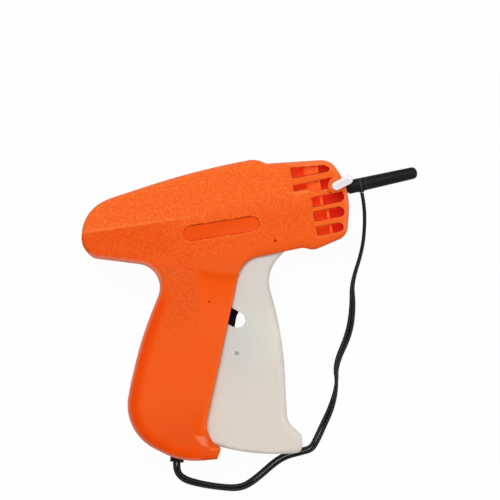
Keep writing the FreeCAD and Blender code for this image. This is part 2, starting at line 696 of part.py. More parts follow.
def feed_guide():
    rear_high = LOUVRES[0][0] - 1
    rear_low = LOUVRES[2][0] - 1
    plate = prism([
        (0, 20, 0), (rear_high, 20, 0), (rear_high, 0, 0), (rear_low, -1, 0), (rear_low, -30, 0), (0, -30, 0),
    ], GUIDE_FLOOR, GUIDE_FLOOR + GUIDE_PLATE)
    wall = box(GUIDE_WALL_X, (LOUVRES[1][3] - 1, 20), (GUIDE_FLOOR, GUIDE_WALL_TOP))
    half = GUIDE_RIB / 2
    ribs = [prism([
        (top[0] - half, top[1], 0), (top[0] + half, top[1], 0), (foot[0] + half, foot[1], 0),
        (foot[0] - half, foot[1], 0),
    ], GUIDE_FLOOR, GUIDE_RIB_TOP) for top, foot in GUIDE_RIBS]
    hole = post(KNOB, KNOB_SHAFT_R + RUN_GAP, 0, THICK)
    room = inset_prism(casing_outline(), WALL + PIN_GAP, GUIDE_FLOOR, GUIDE_RIB_TOP)
    return plate.fuse([wall] + ribs).common(room).cut(hole).removeSplitter()


def needle_lock_knob():
    end = polar(KNOB, KNOB_REACH, KNOB_TILT)
    head = bar(KNOB, end, KNOB_R, KNOB_UNDER, KNOB_TOP)
    head = head.makeFillet(0.5, level_edges(head, [KNOB_TOP]))
    return head.fuse(post(KNOB, KNOB_SHAFT_R, SEAT_HIGH, KNOB_UNDER)).removeSplitter()


def needle_lock_cam():
    disc = post(KNOB, CAM_R, SEAT_HIGH - CAM_THICK, SEAT_HIGH)
    flat = box((KNOB[0] - CAM_R, KNOB[0] + CAM_R), (KNOB[1] + CAM_R * 0.6, KNOB[1] + CAM_R), (0, THICK))
    return disc.cut(flat)


def needle_cap():
    tip = CAP_TIP - CAP_TIP_ROUND
    shoulder = CAP_TIP_R - CAP_TIP_ROUND
    turn = CAP_TIP_ROUND * math.sin(math.radians(45))
    bevel = V(tip + turn, shoulder + turn, 0)
    edges = [
        Part.makeLine(V(CAP_REAR, 0, 0), V(CAP_REAR, CAP_COLLAR_R, 0)),
        Part.makeLine(V(CAP_REAR, CAP_COLLAR_R, 0), V(CAP_COLLAR_END, CAP_COLLAR_R, 0)),
        Part.makeLine(V(CAP_COLLAR_END, CAP_COLLAR_R, 0), V(CAP_COLLAR_END + 0.4, CAP_SHEATH_R, 0)),
        Part.makeLine(V(CAP_COLLAR_END + 0.4, CAP_SHEATH_R, 0), V(tip, CAP_TIP_R, 0)),
        Part.Arc(V(tip, CAP_TIP_R, 0), bevel, V(CAP_TIP, shoulder, 0)).toShape(),
        Part.makeLine(V(CAP_TIP, shoulder, 0), V(CAP_TIP, 0, 0)),
        Part.makeLine(V(CAP_TIP, 0, 0), V(CAP_REAR, 0, 0)),
    ]
    body = Part.Face(Part.Wire(edges)).revolve(V(0, 0, 0), V(1, 0, 0), 360)
    body.translate(V(0, 0, MID))
    half_length, half_width = LUG_LENGTH / 2, LUG_WIDTH / 2
    lug = box((LUG_X - half_length, LUG_X + half_length), (LUG_FACE, 0), (MID - half_width, MID + half_width))
    bores = [
        rod(V(CAP_REAR - 1, 0, MID), V(CAP_TIP - CAP_END_WALL, 0, MID), CAP_BORE_R),
        rod(V(CAP_REAR - 1, 0, MID), V(CAP_REAR + CAP_SEAT_DEPTH, 0, MID), BASE_R + BASE_GAP),
    ]
    return body.fuse(lug).cut(bores).removeSplitter()


# ---------------------------------------------------------------- clip feed
def feed_wheel():
    low, high = MID - WHEEL_THICK / 2, MID + WHEEL_THICK / 2
    points = []
    pitch = 360 / WHEEL_TEETH
    for tooth in range(WHEEL_TEETH):
        points.append(polar(WHEEL, WHEEL_R, tooth * pitch + pitch * 0.1))
        points.append(polar(WHEEL, WHEEL_TIP_R, tooth * pitch + pitch * 0.45))
        points.append(polar(WHEEL, WHEEL_R, tooth * pitch + pitch * 0.8))
    wheel = prism([(p[0], p[1], 0) for p in points], low, high)
    return wheel.cut(post(WHEEL, WHEEL_PIN_R + 2 * PIN_GAP, low, high))


def feed_pawl():
    low, high = MID - PAWL_THICK / 2, MID + PAWL_THICK / 2
    arm = prism([
        (PAWL[0], PAWL[1] + PAWL_HUB_R, 0), (PAWL[0], PAWL[1] - PAWL_HUB_R, 0),
        (PAWL_NOSE[0] - 0.4, PAWL_NOSE[1] - 1.4, 0), (PAWL_NOSE[0], PAWL_NOSE[1], 0),
    ], low, high)
    bore = post(PAWL, PAWL_PIN_R + 2 * PIN_GAP, low, high)
    return arm.fuse(post(PAWL, PAWL_HUB_R, low, high)).cut(bore).removeSplitter()


def pawl_spring():
    # leaf between the pawl's back and the lever side of the spring stop
    low, high = MID - 1.0, MID + 1.0
    top = -STOP_HALF_HEIGHT - 0.05
    return prism([
        (STOP_FRONT - STOP_THICK - 3.2, top - 1.3, 0), (STOP_FRONT - 0.3, top - LEAF_THICK, 0),
        (STOP_FRONT - 0.3, top, 0), (STOP_FRONT - STOP_THICK, top, 0),
        (STOP_FRONT - STOP_THICK - 3.2, top - 1.3 + LEAF_THICK, 0),
    ], low, high)


def feed_pin(place, radius):
    low, high = feed_pin_span()
    return post(place, radius, low + 0.1, high - 0.1)


# ---------------------------------------------------------------- cord
def grommet_axis():
    aim = math.radians(GROMMET_AIM)
    return V(math.cos(aim), math.sin(aim), 0)


def grommet_solid(gap):
    face = V(GROMMET[0], GROMMET[1], MID)
    out = grommet_axis()
    flange = rod(face - out * (GROMMET_FLANGE + gap), face + out * gap, GROMMET_R + gap)
    neck = rod(face - out * GROMMET_DEPTH, face, GROMMET_NECK_R + gap)
    return flange.fuse(neck)


def grommet_seat():
    return grommet_solid(PIN_GAP)


def cord_knot():
    face = V(GROMMET[0], GROMMET[1], MID) - grommet_axis() * GROMMET_DEPTH
    knot = rod(face - grommet_axis() * KNOT_LENGTH, face, KNOT_R)
    return knot.makeFillet(1.2, [knot.Edges[0], knot.Edges[2]])


def strand_points(side):
    # one strand of the pair: the middle's points, moved sideways by the twist
    points = [V(p[0], p[1], p[2]) for p in CORD_ROUTE]
    last = len(points) - 1
    moved = []
    for i, (point, step) in enumerate(zip(points, CORD_ROUTE)):
        along = points[min(i + 1, last)] - points[max(i - 1, 0)]
        if i <= 1:
            along = grommet_axis()
        if i >= last - 1:
            along = V(0, 1, 0)
        across = V(along.y, -along.x, 0).normalize()
        turn = math.radians(step[3])
        moved.append(point + across * (side * STRAND_APART * math.cos(turn))
                     + V(0, 0, 1) * (side * STRAND_APART * math.sin(turn)))
    return moved


def cord_tube(points):
    path, radii = rounded_path(points)
    strand = tube(path, points, STRAND_R)
    share = strand.Volume / (math.pi * STRAND_R ** 2 * path.Length)
    print("cord length", round(path.Length, 1), "volume against section x length", round(share, 4))
    print("cord radii", radii)
    return strand


# ---------------------------------------------------------------- assembly
def build():
    shell = casing_shell()
    low, high = pin_ends()
    ear_low, ear_high = trigger_span()
    head_low, head_high = MID - SLIDE_HALF_WIDTH, MID + SLIDE_HALF_WIDTH
    return {
        "right_body": right_body(shell),
        "left_body": left_body(shell),
        "casing_screws": casing_screws(),
        "trigger": trigger(),
        "trigger_pivot_pin": post(TRIGGER_PIVOT, TRIGGER_PIN_R, low, high),
        "trigger_cross_pin": post(CROSS_PIN, CROSS_PIN_R, ear_low, ear_high),
        "drive_lever": drive_lever(),
        "lever_pivot_pin": post(LEVER_PIVOT, LEVER_PIN_R, INNER_LOW, INNER_HIGH),
        "lever_head_pin": post(HEAD_PIN, HEAD_PIN_R, head_low, head_high),
        "slide_block": slide_block(),
        "plunger_rod": plunger_rod(),
        "return_spring": return_spring(),
        "needle_seat": needle_seat(),
        "needle_base": needle_base(),
        "needle_tube": needle_tube(),
        "needle_cap": needle_cap(),
        "needle_lock_knob": needle_lock_knob(),
        "needle_lock_cam": needle_lock_cam(),
        "knife": knife(),
        "feed_guide": feed_guide(),
        "feed_wheel": feed_wheel(),
        "feed_axle": feed_pin(WHEEL, WHEEL_PIN_R),
        "feed_pawl": feed_pawl(),
        "pawl_pin": feed_pin(PAWL, PAWL_PIN_R),
        "pawl_spring": pawl_spring(),
        "cord_grommet": grommet_solid(0),
        "cord_knot": cord_knot(),
        "cord_strand_a": cord_tube(strand_points(1)),
        "cord_strand_b": cord_tube(strand_points(-1)),
    }


def export_all(shapes):
    os.makedirs("parts", exist_ok=True)
    standing = [s for name, s in shapes.items() if not name.startswith("cord_strand")]
    bounds = Part.makeCompound(standing).optimalBoundingBox(False)
    shift = V(-bounds.Center.x, -bounds.Center.y, -bounds.ZMin)
    print("moved by", [round(v, 3) for v in shift])
    for name, shape in shapes.items():
        shape.translate(shift)
        print(name, "valid" if shape.isValid() else "NOT VALID", len(shape.Solids), round(shape.Volume, 1))
        shape.exportStep("parts/%s.step" % name)


if __name__ == "__main__":
    export_all(build())
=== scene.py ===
import bmesh
import bpy
import math
import numpy as np
from mathutils import Matrix, Vector


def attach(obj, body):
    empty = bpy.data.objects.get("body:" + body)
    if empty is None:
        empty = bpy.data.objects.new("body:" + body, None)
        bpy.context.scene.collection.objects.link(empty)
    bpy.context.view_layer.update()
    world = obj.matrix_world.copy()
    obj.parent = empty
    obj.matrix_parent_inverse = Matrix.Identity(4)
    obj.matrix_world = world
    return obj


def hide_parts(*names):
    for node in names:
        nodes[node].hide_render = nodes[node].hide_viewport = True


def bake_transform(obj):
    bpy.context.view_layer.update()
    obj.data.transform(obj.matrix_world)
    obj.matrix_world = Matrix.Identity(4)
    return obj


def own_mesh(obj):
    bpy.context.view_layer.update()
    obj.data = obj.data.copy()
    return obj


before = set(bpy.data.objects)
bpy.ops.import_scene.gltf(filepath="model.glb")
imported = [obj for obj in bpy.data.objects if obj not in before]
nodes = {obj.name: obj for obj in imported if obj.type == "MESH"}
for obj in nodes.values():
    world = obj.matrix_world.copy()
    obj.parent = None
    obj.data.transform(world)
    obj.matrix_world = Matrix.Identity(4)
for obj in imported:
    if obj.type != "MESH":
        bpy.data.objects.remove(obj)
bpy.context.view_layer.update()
print("frame loaded:", len(nodes), "nodes")

mm = 0.001
drawingShift = (45.734, 45.780)  # from the nose on the needle line to the middle of the footprint
middleHeight = 14.0  # of the needle line and the parting plane


def at(x, y, z):
    # a place in the maker's drawing, in millimetres, as a point in the frame
    return Vector(((x + drawingShift[0]) * mm, (y + drawingShift[1]) * mm, z * mm))


def newObject(name, mesh):
    piece = bpy.data.objects.new(name, mesh)
    bpy.context.scene.collection.objects.link(piece)
    return piece


def soften(mesh, angle=32):
    mesh.polygons.foreach_set("use_smooth", [True] * len(mesh.polygons))
    mesh.set_sharp_from_angle(angle=math.radians(angle))


def dress(piece, slot, body, *replaced, finish=None):
    piece.data.materials.clear()
    piece.data.materials.append(finishes[finish or slot])
    if body:
        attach(piece, body)
    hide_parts(*replaced)
    print(piece.name, "has", len(piece.data.polygons), "faces")


# node trees, where new nodes go into the tree that was started last
started = {}
socketKinds = {
    float: "Float", int: "Int", tuple: "Vector", bpy.types.Material: "Material", type(None): "Geometry"}


def link(value, socket):
    started["tree"].links.new(value, socket)


def addNode(kind, values=(), **settings):
    # a kind without the word Node is a shader's, and each socket goes by its identifier or name
    node = started["tree"].nodes.new(kind if "Node" in kind else "ShaderNode" + kind)
    for name, value in settings.items():
        setattr(node, name, value)
    known = {socket.identifier: socket for socket in node.inputs}
    for key, value in dict(values).items():
        socket = known.get(key) or node.inputs[key]
        if isinstance(value, bpy.types.NodeSocket):
            link(value, socket)
        else:
            socket.default_value = value
    return node


def newGroup(name, kind, inputs, outputs):
    # each value tells the kind of its socket
    tree = started["tree"] = bpy.data.node_groups.new(name, kind)
    for way, values in (("INPUT", inputs), ("OUTPUT", outputs)):
        for label, value in values.items():
            form = "NodeSocket" + socketKinds[type(value)]
            socket = tree.interface.new_socket(label, in_out=way, socket_type=form)
            if value is not None:
                socket.default_value = value
    return addNode("NodeGroupInput").outputs, addNode("NodeGroupOutput").inputs


def calc(operation, first, second, clamp=False):
    values = {0: first, 1: second}
    return addNode("Math", values, operation=operation, use_clamp=clamp).outputs[0]


def plus(first, second, clamp=False):
    return calc("ADD", first, second, clamp)


def minus(first, second):
    return calc("SUBTRACT", first, second)


def times(first, second, clamp=False):
    return calc("MULTIPLY", first, second, clamp)


def vector(operation, *values):
    node = addNode("VectorMath", enumerate(values), operation=operation)
    return node.outputs["Value" if operation in ("DOT_PRODUCT", "DISTANCE", "LENGTH") else "Vector"]


# camera, floor and light
studio = {
    "turn": 11.5,  # how far the tool is turned in the view, in degrees
    "middle": (-49.43, -18.84, 26.0),
    "width": 225.0,
    "lens": 1500.0,
    "sensor": 36.0,
    "farthest": 50.0,
    "skyLevel": 0.37,
    "paper": (0.9, 0.9, 0.9, 1),
    "floorGlow": 0.965,  # share of the floor that shows as plain white
    "floorHalf": 6.0,
    "floorDrop": 0.00005,  # just under the tool, so that the two don't meet
    # place from the middle, side and power
    "lamps": {
        "keyLamp": ((-0.25, 0.75, 1.5), 0.9, 15.2),
        "fillLamp": ((0.9, -0.3, 1.2), 0.8, 5.4),
    },
}


def addCamera():
    data = bpy.data.cameras.new("camera")
    data.lens = studio["lens"]
    data.sensor_width = studio["sensor"]
    data.clip_end = studio["farthest"]
    camera = newObject("camera", data)
    reach = studio["width"] * mm * studio["lens"] / studio["sensor"]
    camera.location = at(*studio["middle"]) + Vector((0, 0, reach))
    camera.rotation_euler = (0, 0, math.radians(-studio["turn"]))
    bpy.context.scene.camera = camera


def addLamp(name, place, side, power):
    data = bpy.data.lights.new(name, "AREA")
    data.shape = "SQUARE"
    data.size = side
    data.energy = power
    lamp = newObject(name, data)
    middle = at(*studio["middle"])
    lamp.location = middle + Matrix.Rotation(math.radians(-studio["turn"]), 3, "Z") @ Vector(place)
    lamp.rotation_euler = (middle - lamp.location).to_track_quat("-Z", "Y").to_euler()


def seenRays():
    # 1 for rays that show the backdrop: from the camera, in gloss and through glass
    light = addNode("LightPath").outputs
    seen = calc("MAXIMUM", light["Is Camera Ray"], light["Is Glossy Ray"])
    return calc("MAXIMUM", seen, light["Is Transmission Ray"])


def openTree(owner):
    owner.use_nodes = True
    started["tree"] = owner.node_tree
    return owner.node_tree.nodes


def mixSurface(output, share, first, second):
    mixed = addNode("MixShader", {0: share, 1: first.outputs[0], 2: second.outputs[0]})
    addNode(output, {"Surface": mixed.outputs[0]})


def addWorld():
    world = bpy.data.worlds.new("studioWorld")
    openTree(world).clear()
    white = (1, 1, 1, 1)
    sky = addNode("Background", {"Color": white, "Strength": studio["skyLevel"]})
    backdrop = addNode("Background", {"Color": white})
    mixSurface("OutputWorld", seenRays(), sky, backdrop)
    bpy.context.scene.world = world


def addFloor():
    material = bpy.data.materials.new("paleFloor")
    openTree(material).clear()
    paper = addNode("BsdfDiffuse", {"Color": studio["paper"]})
    glow = addNode("Emission")
    share = times(seenRays(), studio["floorGlow"])
    mixSurface("OutputMaterial", share, paper, glow)
    mesh = bpy.data.meshes.new("studioFloor")
    half, low = studio["floorHalf"], -studio["floorDrop"]
    corners = [(x * half, y * half, low) for x, y in ((-1, -1), (1, -1), (1, 1), (-1, 1))]
    mesh.from_pydata(corners, [], [(0, 1, 2, 3)])
    mesh.materials.append(material)
    newObject("studioFloor", mesh)


bpy.context.scene.view_settings.view_transform = "Standard"
addCamera()
addWorld()
addFloor()
for name, lamp in studio["lamps"].items():
    addLamp(name, *lamp)
print("studio ready")


# shared shader groups, each reading a place on the piece
def shaderGroup(name, outputs=("Mask",), **inputs):
    inputs = {"Vector": (0, 0, 0), **inputs}
    return newGroup(name, "ShaderNodeTree", inputs, dict.fromkeys(outputs, 0.0))


def stretched(value, contrast):
    # a value spread out round its middle and held between 0 and 1
    return plus(times(minus(value, 0.5), contrast), 0.5, True)


def faded(given, made, far, start=1.0, end=0.0):
    # ends a group with a mask that goes from start to end over the reach
    values = {"Value": calc("DIVIDE", far, given["Reach"]), "To Min": start, "To Max": end}
    link(addNode("MapRange", values, interpolation_type="SMOOTHSTEP").outputs[0], made["Mask"])
    return started["tree"]


def sparkGroup():
    # the fine spark-eroded grain that a mould leaves, as a height and a mask of its raised flecks
    given, made = shaderGroup("sparkGrain", ("Height", "Flecks"), Grains=1000.0, Contrast=2.0)
    spread = {"Vector": given["Vector"], "Scale": given["Grains"]}
    coarse = addNode("TexNoise", dict(spread, Detail=2.0, Roughness=0.6))
    cells = addNode("TexVoronoi", spread, feature="F1")
    height = plus(plus(coarse.outputs[0], times(cells.outputs["Distance"], -0.35)), 0.15)
    link(height, made["Height"])
    link(stretched(height, given["Contrast"]), made["Flecks"])
    return started["tree"]


def mottleGroup():
    # broad, faint unevenness of colour and gloss
    given, made = shaderGroup("softMottle", Patches=60.0, Spread=1.0)
    broad = addNode("TexNoise", {"Vector": given["Vector"], "Scale": given["Patches"], "Detail": 3.0})
    link(stretched(broad.outputs[0], given["Spread"]), made["Mask"])
    return started["tree"]


def rampGroup():
    # 0 before a plane and 1 past it, over the given reach
    given, made = shaderGroup("crossPlane", Place=(0, 0, 0), Way=(1, 0, 0), Reach=0.01)
    offset = vector("SUBTRACT", given["Vector"], given["Place"])
    return faded(given, made, vector("DOT_PRODUCT", offset, given["Way"]), 0.0, 1.0)


def spotGroup():
    # 1 at a point, fading to 0 at the given reach
    given, made = shaderGroup("softSpot", Place=(0, 0, 0), Reach=0.01)
    return faded(given, made, vector("DISTANCE", given["Vector"], given["Place"]))


def boxEdgeGroup():
    # 1 inside an upright box, fading to 0 at the given reach outside it
    given, made = shaderGroup("boxEdge", Middle=(0, 0, 0), Half=(0.01, 0.01, 1), Reach=0.001)
    gap = vector("ABSOLUTE", vector("SUBTRACT", given["Vector"], given["Middle"]))
    gap = vector("MAXIMUM", vector("SUBTRACT", gap, given["Half"]), (0, 0, 0))
    return faded(given, made, vector("LENGTH", gap))


def slotEdgeGroup():
    # the same for a slot with round ends
    given, made = shaderGroup(
        "slotEdge", Start=(0, 0, 0), Run=(0.01, 0, 0), Length=0.01, Radius=0.003, Reach=0.001)
    flat = vector("SUBTRACT", given["Vector"], given["Start"])
    flat = vector("MULTIPLY", flat, (1, 1, 0))
    along = calc("MAXIMUM", vector("DOT_PRODUCT", flat, given["Run"]), 0.0)
    held = calc("MINIMUM", along, given["Length"])
    nearest = addNode("VectorMath", {0: given["Run"], "Scale": held}, operation="SCALE").outputs[0]
    past = minus(vector("DISTANCE", flat, nearest), given["Radius"])
    return faded(given, made, past)


groups = {
    "spark": sparkGroup(), "mottle": mottleGroup(), "ramp": rampGroup(), "spot": spotGroup(),
    "boxEdge": boxEdgeGroup(), "slotEdge": slotEdgeGroup(),
}


def ownPlace():
    return started["tree"].nodes["spot"].outputs["Object"]


def grouped(group, **values):
    # the outputs of a shared group that reads the piece's own coordinates
    return addNode("Group", dict(values, Vector=ownPlace()), node_tree=groups[group]).outputs


def mask(group, **values):
    return grouped(group, **values)[0]


def mottled(patches, spread):
    return mask("mottle", Patches=patches, Spread=spread)


def ramp(place, way, reach):
    return mask("ramp", Place=at(*place), Way=way, Reach=reach)


def fromScreen(red, green, blue):
    # a colour as a screen shows it, 0 to 255, as the shader's own values
    parts = [part / 255 for part in (red, green, blue)]
    return (*(part / 12.92 if part <= 0.04045 else ((part + 0.055) / 1.055) ** 2.4 for part in parts), 1.0)


def mix(share, first, second, blend="MIX"):
    # three numbers are a colour as a screen shows it, and four are the shader's own values
    values = {"Factor_Float": share}
    for side, colour in (("A_Color", first), ("B_Color", second)):
        seen = isinstance(colour, tuple) and len(colour) == 3
        values[side] = fromScreen(*colour) if seen else colour
    node = addNode("Mix", values, data_type="RGBA", blend_type=blend)
    return next(socket for socket in node.outputs if socket.identifier == "Result_Color")


def between(share, low, high):
    # low where the mask is 0 and high where it is 1
    return addNode("MapRange", {"Value": share, "To Min": low, "To Max": high}).outputs[0]


def attribute(name, output):
    return addNode("Attribute", attribute_name=name).outputs[output]


def surface(name):
    # the shader's own socket, with underscores for spaces in its name
    return started["tree"].nodes["Principled BSDF"].inputs[name.replace("_", " ")]


def startMaterial(name, **values):
    material = bpy.data.materials.new(name)
    openTree(material)
    for socket, value in values.items():
        surface(socket).default_value = value
    addNode("TexCoord", name="spot")
    return material


def finished(material, colour, rough, height, depth):
    bump = addNode("Bump", {"Height": height, "Distance": depth, "Strength": 1.0}).outputs["Normal"]
    for socket, value in (("Base Color", colour), ("Roughness", rough), ("Normal", bump)):
        link(value, surface(socket))
    return material


# materials
windowSizes = [
    # rear, front, top and bottom of each louvre in the nose
    (-24.5, -5.9, 13.8, 9.0), (-24.6, -4.6, 5.9, 1.3), (-17.9, -3.2, -1.2, -5.5),
    (-18.2, -4.4, -7.9, -12.2), (-18.5, -6.1, -14.8, -18.7),
]
windowRim = 0.8
labelSizes = {"middle": (-60.0, -6.85), "half": 13.9, "tilt": -2.6}


def labelMask(radius, reach):
    # 1 inside a slot along the label's middle, fading to 0 outside it
    turn = math.radians(labelSizes["tilt"])
    run = Vector((math.cos(turn), math.sin(turn), 0))
    half = labelSizes["half"] * mm
    start = at(*labelSizes["middle"], 0) - run * half
    return mask("slotEdge", Start=start, Run=run, Length=2 * half, Radius=radius * mm, Reach=reach * mm)


def louvreEdges():
    # how near a place is to the rounded edge of a louvre
    edge = 0.0
    for rear, front, top, bottom in windowSizes:
        middle = at((rear + front) / 2, (top + bottom) / 2, 28)
        half = ((front - rear) / 2 * mm, (top - bottom) / 2 * mm, 1)
        edge = calc("MAXIMUM", edge, mask("boxEdge", Middle=middle, Half=half, Reach=windowRim * mm))
    return edge


def orangeCasing():
    material = startMaterial("orangeCasing", Specular_IOR_Level=0.06)
    spark = grouped("spark", Grains=1280.0, Contrast=3.0)
    mottle = mottled(55.0, 1.3)
    top = ramp((0, 0, 27.0), (0, 0, 1), 0.0003)
    louvres = times(louvreEdges(), top)
    # a painted highlight along the rounded edges of the louvres
    shade = mix(times(louvres, 0.65), attribute("shade", "Color"), (255, 122, 60))
    # the label's recess: a painted highlight on its lower edge, its floor, and painted shade in a line round
    # the floor's edge
    lower = ramp((*labelSizes["middle"], 0), (0.28, -0.96, 0), 0.003)
    lipHighlight = times(labelMask(3.5, 0.9), between(lower, 0.25, 0.9))
    shade = mix(times(lipHighlight, top), shade, (255, 120, 42))
    floor = times(labelMask(3.4, 0.12), top)
    # painted shade: the recess's floor darker near its walls
    floorEdgeShade = minus(1.0, labelMask(2.5, 0.8))
    shade = mix(floor, shade, mix(floorEdgeShade, (241, 82, 13), (229, 74, 9)))
    # grain on the textured areas only
    grain = times(attribute("grain", "Fac"), minus(1.0, floor))
    plain = mix(mottle, (0.99, 0.96, 0.9, 1), (1.01, 1.04, 1.1, 1))
    flecked = mix(spark["Flecks"], (0.95, 0.76, 0.58, 1), (1.04, 1.23, 1.4, 1))
    colour = mix(1.0, shade, mix(grain, plain, flecked), "MULTIPLY")
    rough = plus(between(grain, 0.3, 0.5), between(mottle, -0.03, 0.03))
    slope = times(times(labelMask(3.5, 0.8), top), 0.3)
    edges = times(calc("MAXIMUM", louvres, slope), 1.6)
    height = minus(times(spark["Height"], between(grain, 0.04, 0.9)), edges)
    return finished(material, colour, rough, height, 0.00016)


def orangeGuide():
    # thin moulding behind the louvres: its deep floors have painted shade, darkest past the rib, and it has a
    # painted glow from its emission, brightest on the floors
    material = startMaterial("orangeGuide", Specular_IOR_Level=0.1, Emission_Strength=0.32)
    mottle = mottled(120.0, 1.4)
    past, farther, across = (
        ramp((start, 0, 0), (1, 0, 0), width)
        for start, width in ((-13.2, 0.001), (-11.5, 0.009), (-19.2, 0.003)))
    high = ramp((0, 0, 21.0), (0, 0, 1), 0.003)
    # painted shade on the deep floors, darker past the rib and darker again farther on
    near = mix(mottle, (238, 62, 14), (245, 72, 18))
    floor = mix(past, near, mix(farther, (216, 40, 10), (196, 14, 6)))
    # painted shade on the tops behind the wall, left of x -19.2
    crest = mix(across, (238, 76, 20), (255, 108, 34))
    # painted glow: the floors emit their own colour and the tops a dim red, though no lamp is there
    glow = mix(high, floor, (0.25, 0.03, 0.005, 1))
    link(glow, surface("Emission Color"))
    spark = mask("spark", Grains=1800.0, Contrast=2.0)
    return finished(material, mix(high, floor, crest), between(mottle, 0.3, 0.42), spark, 0.00003)


def milkyTrigger():
    material = startMaterial(
        "milkyTrigger", Specular_IOR_Level=0.2, Subsurface_Weight=0.25, Subsurface_Scale=0.004,
        Subsurface_Radius=(1.0, 0.85, 0.7))
    mottle = mottled(35.0, 1.3)
    gripward = (-0.915, 0.4025, 0)
    dimple = (-64.5, -63.3)
    # mask, strength and colour of each tinted area, the dimple last; the first two are painted shadow of the
    # grip, and the dimple has a painted highlight round it and painted shade in its pit
    areas = [
        # painted shadow of the grip, pinkish, on the trigger next to it
        (ramp((-70.5, -72, 0), gripward, 0.0075), 0.7, (220, 200, 190)),
        # painted shadow in a narrow line along the grip's front edge
        (ramp((-52.8, -23.1, 0), gripward, 0.0015), 0.3, (198, 172, 166)),
        (mask("spot", Place=at(-51.0, -59.0, 25), Reach=0.02), 1.3, (228, 223, 211)),
        (mask("spot", Place=at(-62.0, -58.5, 25), Reach=0.02), 0.65, (205, 207, 202)),
        (mottle, 0.25, (214, 205, 192)),
        # painted highlight round the dimple, then painted shade in its pit
        (mask("spot", Place=at(*dimple, 24.9), Reach=0.0022), 0.8, (229, 225, 217)),
        (mask("spot", Place=at(*dimple, 24.7), Reach=0.0016), 2.2, (180, 180, 173)),
    ]
    lower = ramp((-60, -62, 0), (0.1, -1, 0), 0.03)
    colour = mix(lower, (220, 212, 205), (227, 216, 204))
    for area, strength, tint in areas:
        colour = mix(times(area, strength, True), colour, tint)
    spark = mask("spark", Grains=1500.0, Contrast=2.0)
    return finished(material, colour, between(mottle, 0.36, 0.46), spark, 0.00002)


def whiteKnob():
    material = startMaterial("whiteKnob", Specular_IOR_Level=0.3)
    mottle = mottled(300.0, 1.0)
    outward = ramp((-1.2, 2.8, 31), (0.96, 0.28, 0), 0.003)
    near = mix(mottle, (222, 218, 226), (232, 229, 235))
    face = mix(outward, near, (226, 232, 231))
    rim = mix(outward, (250, 236, 230), (240, 243, 243))
    middle = mask(
        "slotEdge", Start=at(-5.4, 1.5, 0), Run=(0.961, 0.276, 0), Length=0.0055, Radius=0.0004, Reach=0.0011)
    return finished(material, mix(middle, rim, face), between(mottle, 0.25, 0.35), mottle, 0.00002)


def whiteNylon():
    material = startMaterial("whiteNylon", Specular_IOR_Level=0.35)
    mottle = mottled(220.0, 1.4)
    spark = mask("spark", Grains=2200.0, Contrast=2.0)
    colour = mix(mottle, (226, 222, 212), (238, 235, 226))
    return finished(material, colour, between(mottle, 0.38, 0.5), spark, 0.00003)


def blackPlastic(name, roughness, seamHighlights=()):
    # each seam's painted highlight has its place along the needle line, reach, strength and colour
    material = startMaterial(name, Specular_IOR_Level=0.1)
    spark = grouped("spark", Grains=1500.0, Contrast=3.0)
    mottle = mottled(150.0, 1.5)
    colour = mix(times(spark["Flecks"], 0.6), (8, 8, 8), (33, 34, 33))
    # a painted highlight: a lighter line across the black at each seam
    for x, reach, strength, tint in seamHighlights:
        line = mask("boxEdge", Middle=at(x, 0, middleHeight), Half=(0.0001, 1, 1), Reach=reach)
        colour = mix(times(line, strength), colour, tint)
    rough = between(mottle, roughness - 0.05, roughness + 0.05)
    return finished(material, colour, rough, spark["Height"], 0.00008)


def blackCord():
    # two plies laid round each other, read from the strand's own UV map in millimetres
    material = startMaterial("blackCord", Specular_IOR_Level=0.2)
    uv = addNode("UVMap", uv_map="strand").outputs["UV"]
    parts = addNode("SeparateXYZ", {"Vector": uv}).outputs
    lay = plus(parts["X"], times(parts["Y"], 0.28))
    plies = calc("SINE", times(lay, 4 * math.pi), 0.0)
    raised = plus(times(plies, 0.5), 0.5, True)
    mottle = mottled(400.0, 1.5)
    colour = mix(raised, (5, 5, 5), (17, 17, 18))
    return finished(material, colour, between(mottle, 0.26, 0.42), raised, 0.00009)


def steel(name, tone, roughness, streaks):
    material = startMaterial(name, Metallic=1.0)
    stretch = addNode("Mapping", {"Vector": ownPlace(), "Scale": streaks}).outputs[0]
    brushed = addNode("TexNoise", {"Vector": stretch, "Scale": 1.0, "Detail": 3.0}).outputs[0]
    bright = fromScreen(*tone)
    dark = (*(part * 0.8 for part in bright[:3]), 1.0)
    rough = between(brushed, roughness - 0.08, roughness + 0.08)
    return finished(material, mix(brushed, dark, bright), rough, brushed, 0.00001)


finishes = {
    "orange_casing": orangeCasing(),
    "orange_guide": orangeGuide(),
    "natural_trigger": milkyTrigger(),
    "white_knob": whiteKnob(),
    "white_nylon": whiteNylon(),
    "black_plastic": blackPlastic("blackPlastic", 0.48),
    "black_cap": blackPlastic(
        "blackCap", 0.45, [(5.35, 0.0005, 0.6, (72, 72, 74)), (7.85, 0.0004, 0.35, (60, 60, 62))]),
    "black_cord": blackCord(),
    "pin_steel": steel("pinSteel", (205, 205, 208), 0.28, (3000, 3000, 300)),
    "spring_steel": steel("springSteel", (188, 190, 196), 0.3, (2000, 2000, 2000)),
    "needle_steel": steel("needleSteel", (212, 213, 216), 0.2, (250, 4000, 4000)),
    "screw_steel": steel("screwSteel", (172, 174, 178), 0.34, (3000, 3000, 500)),
}
print("finishes ready:", len(finishes))


# swept shapes
def ring(middle, across, other, radius, sides):
    angles = [2 * math.pi * k / sides for k in range(sides)]
    return [middle + (across * math.cos(a) + other * math.sin(a)) * radius for a in angles]


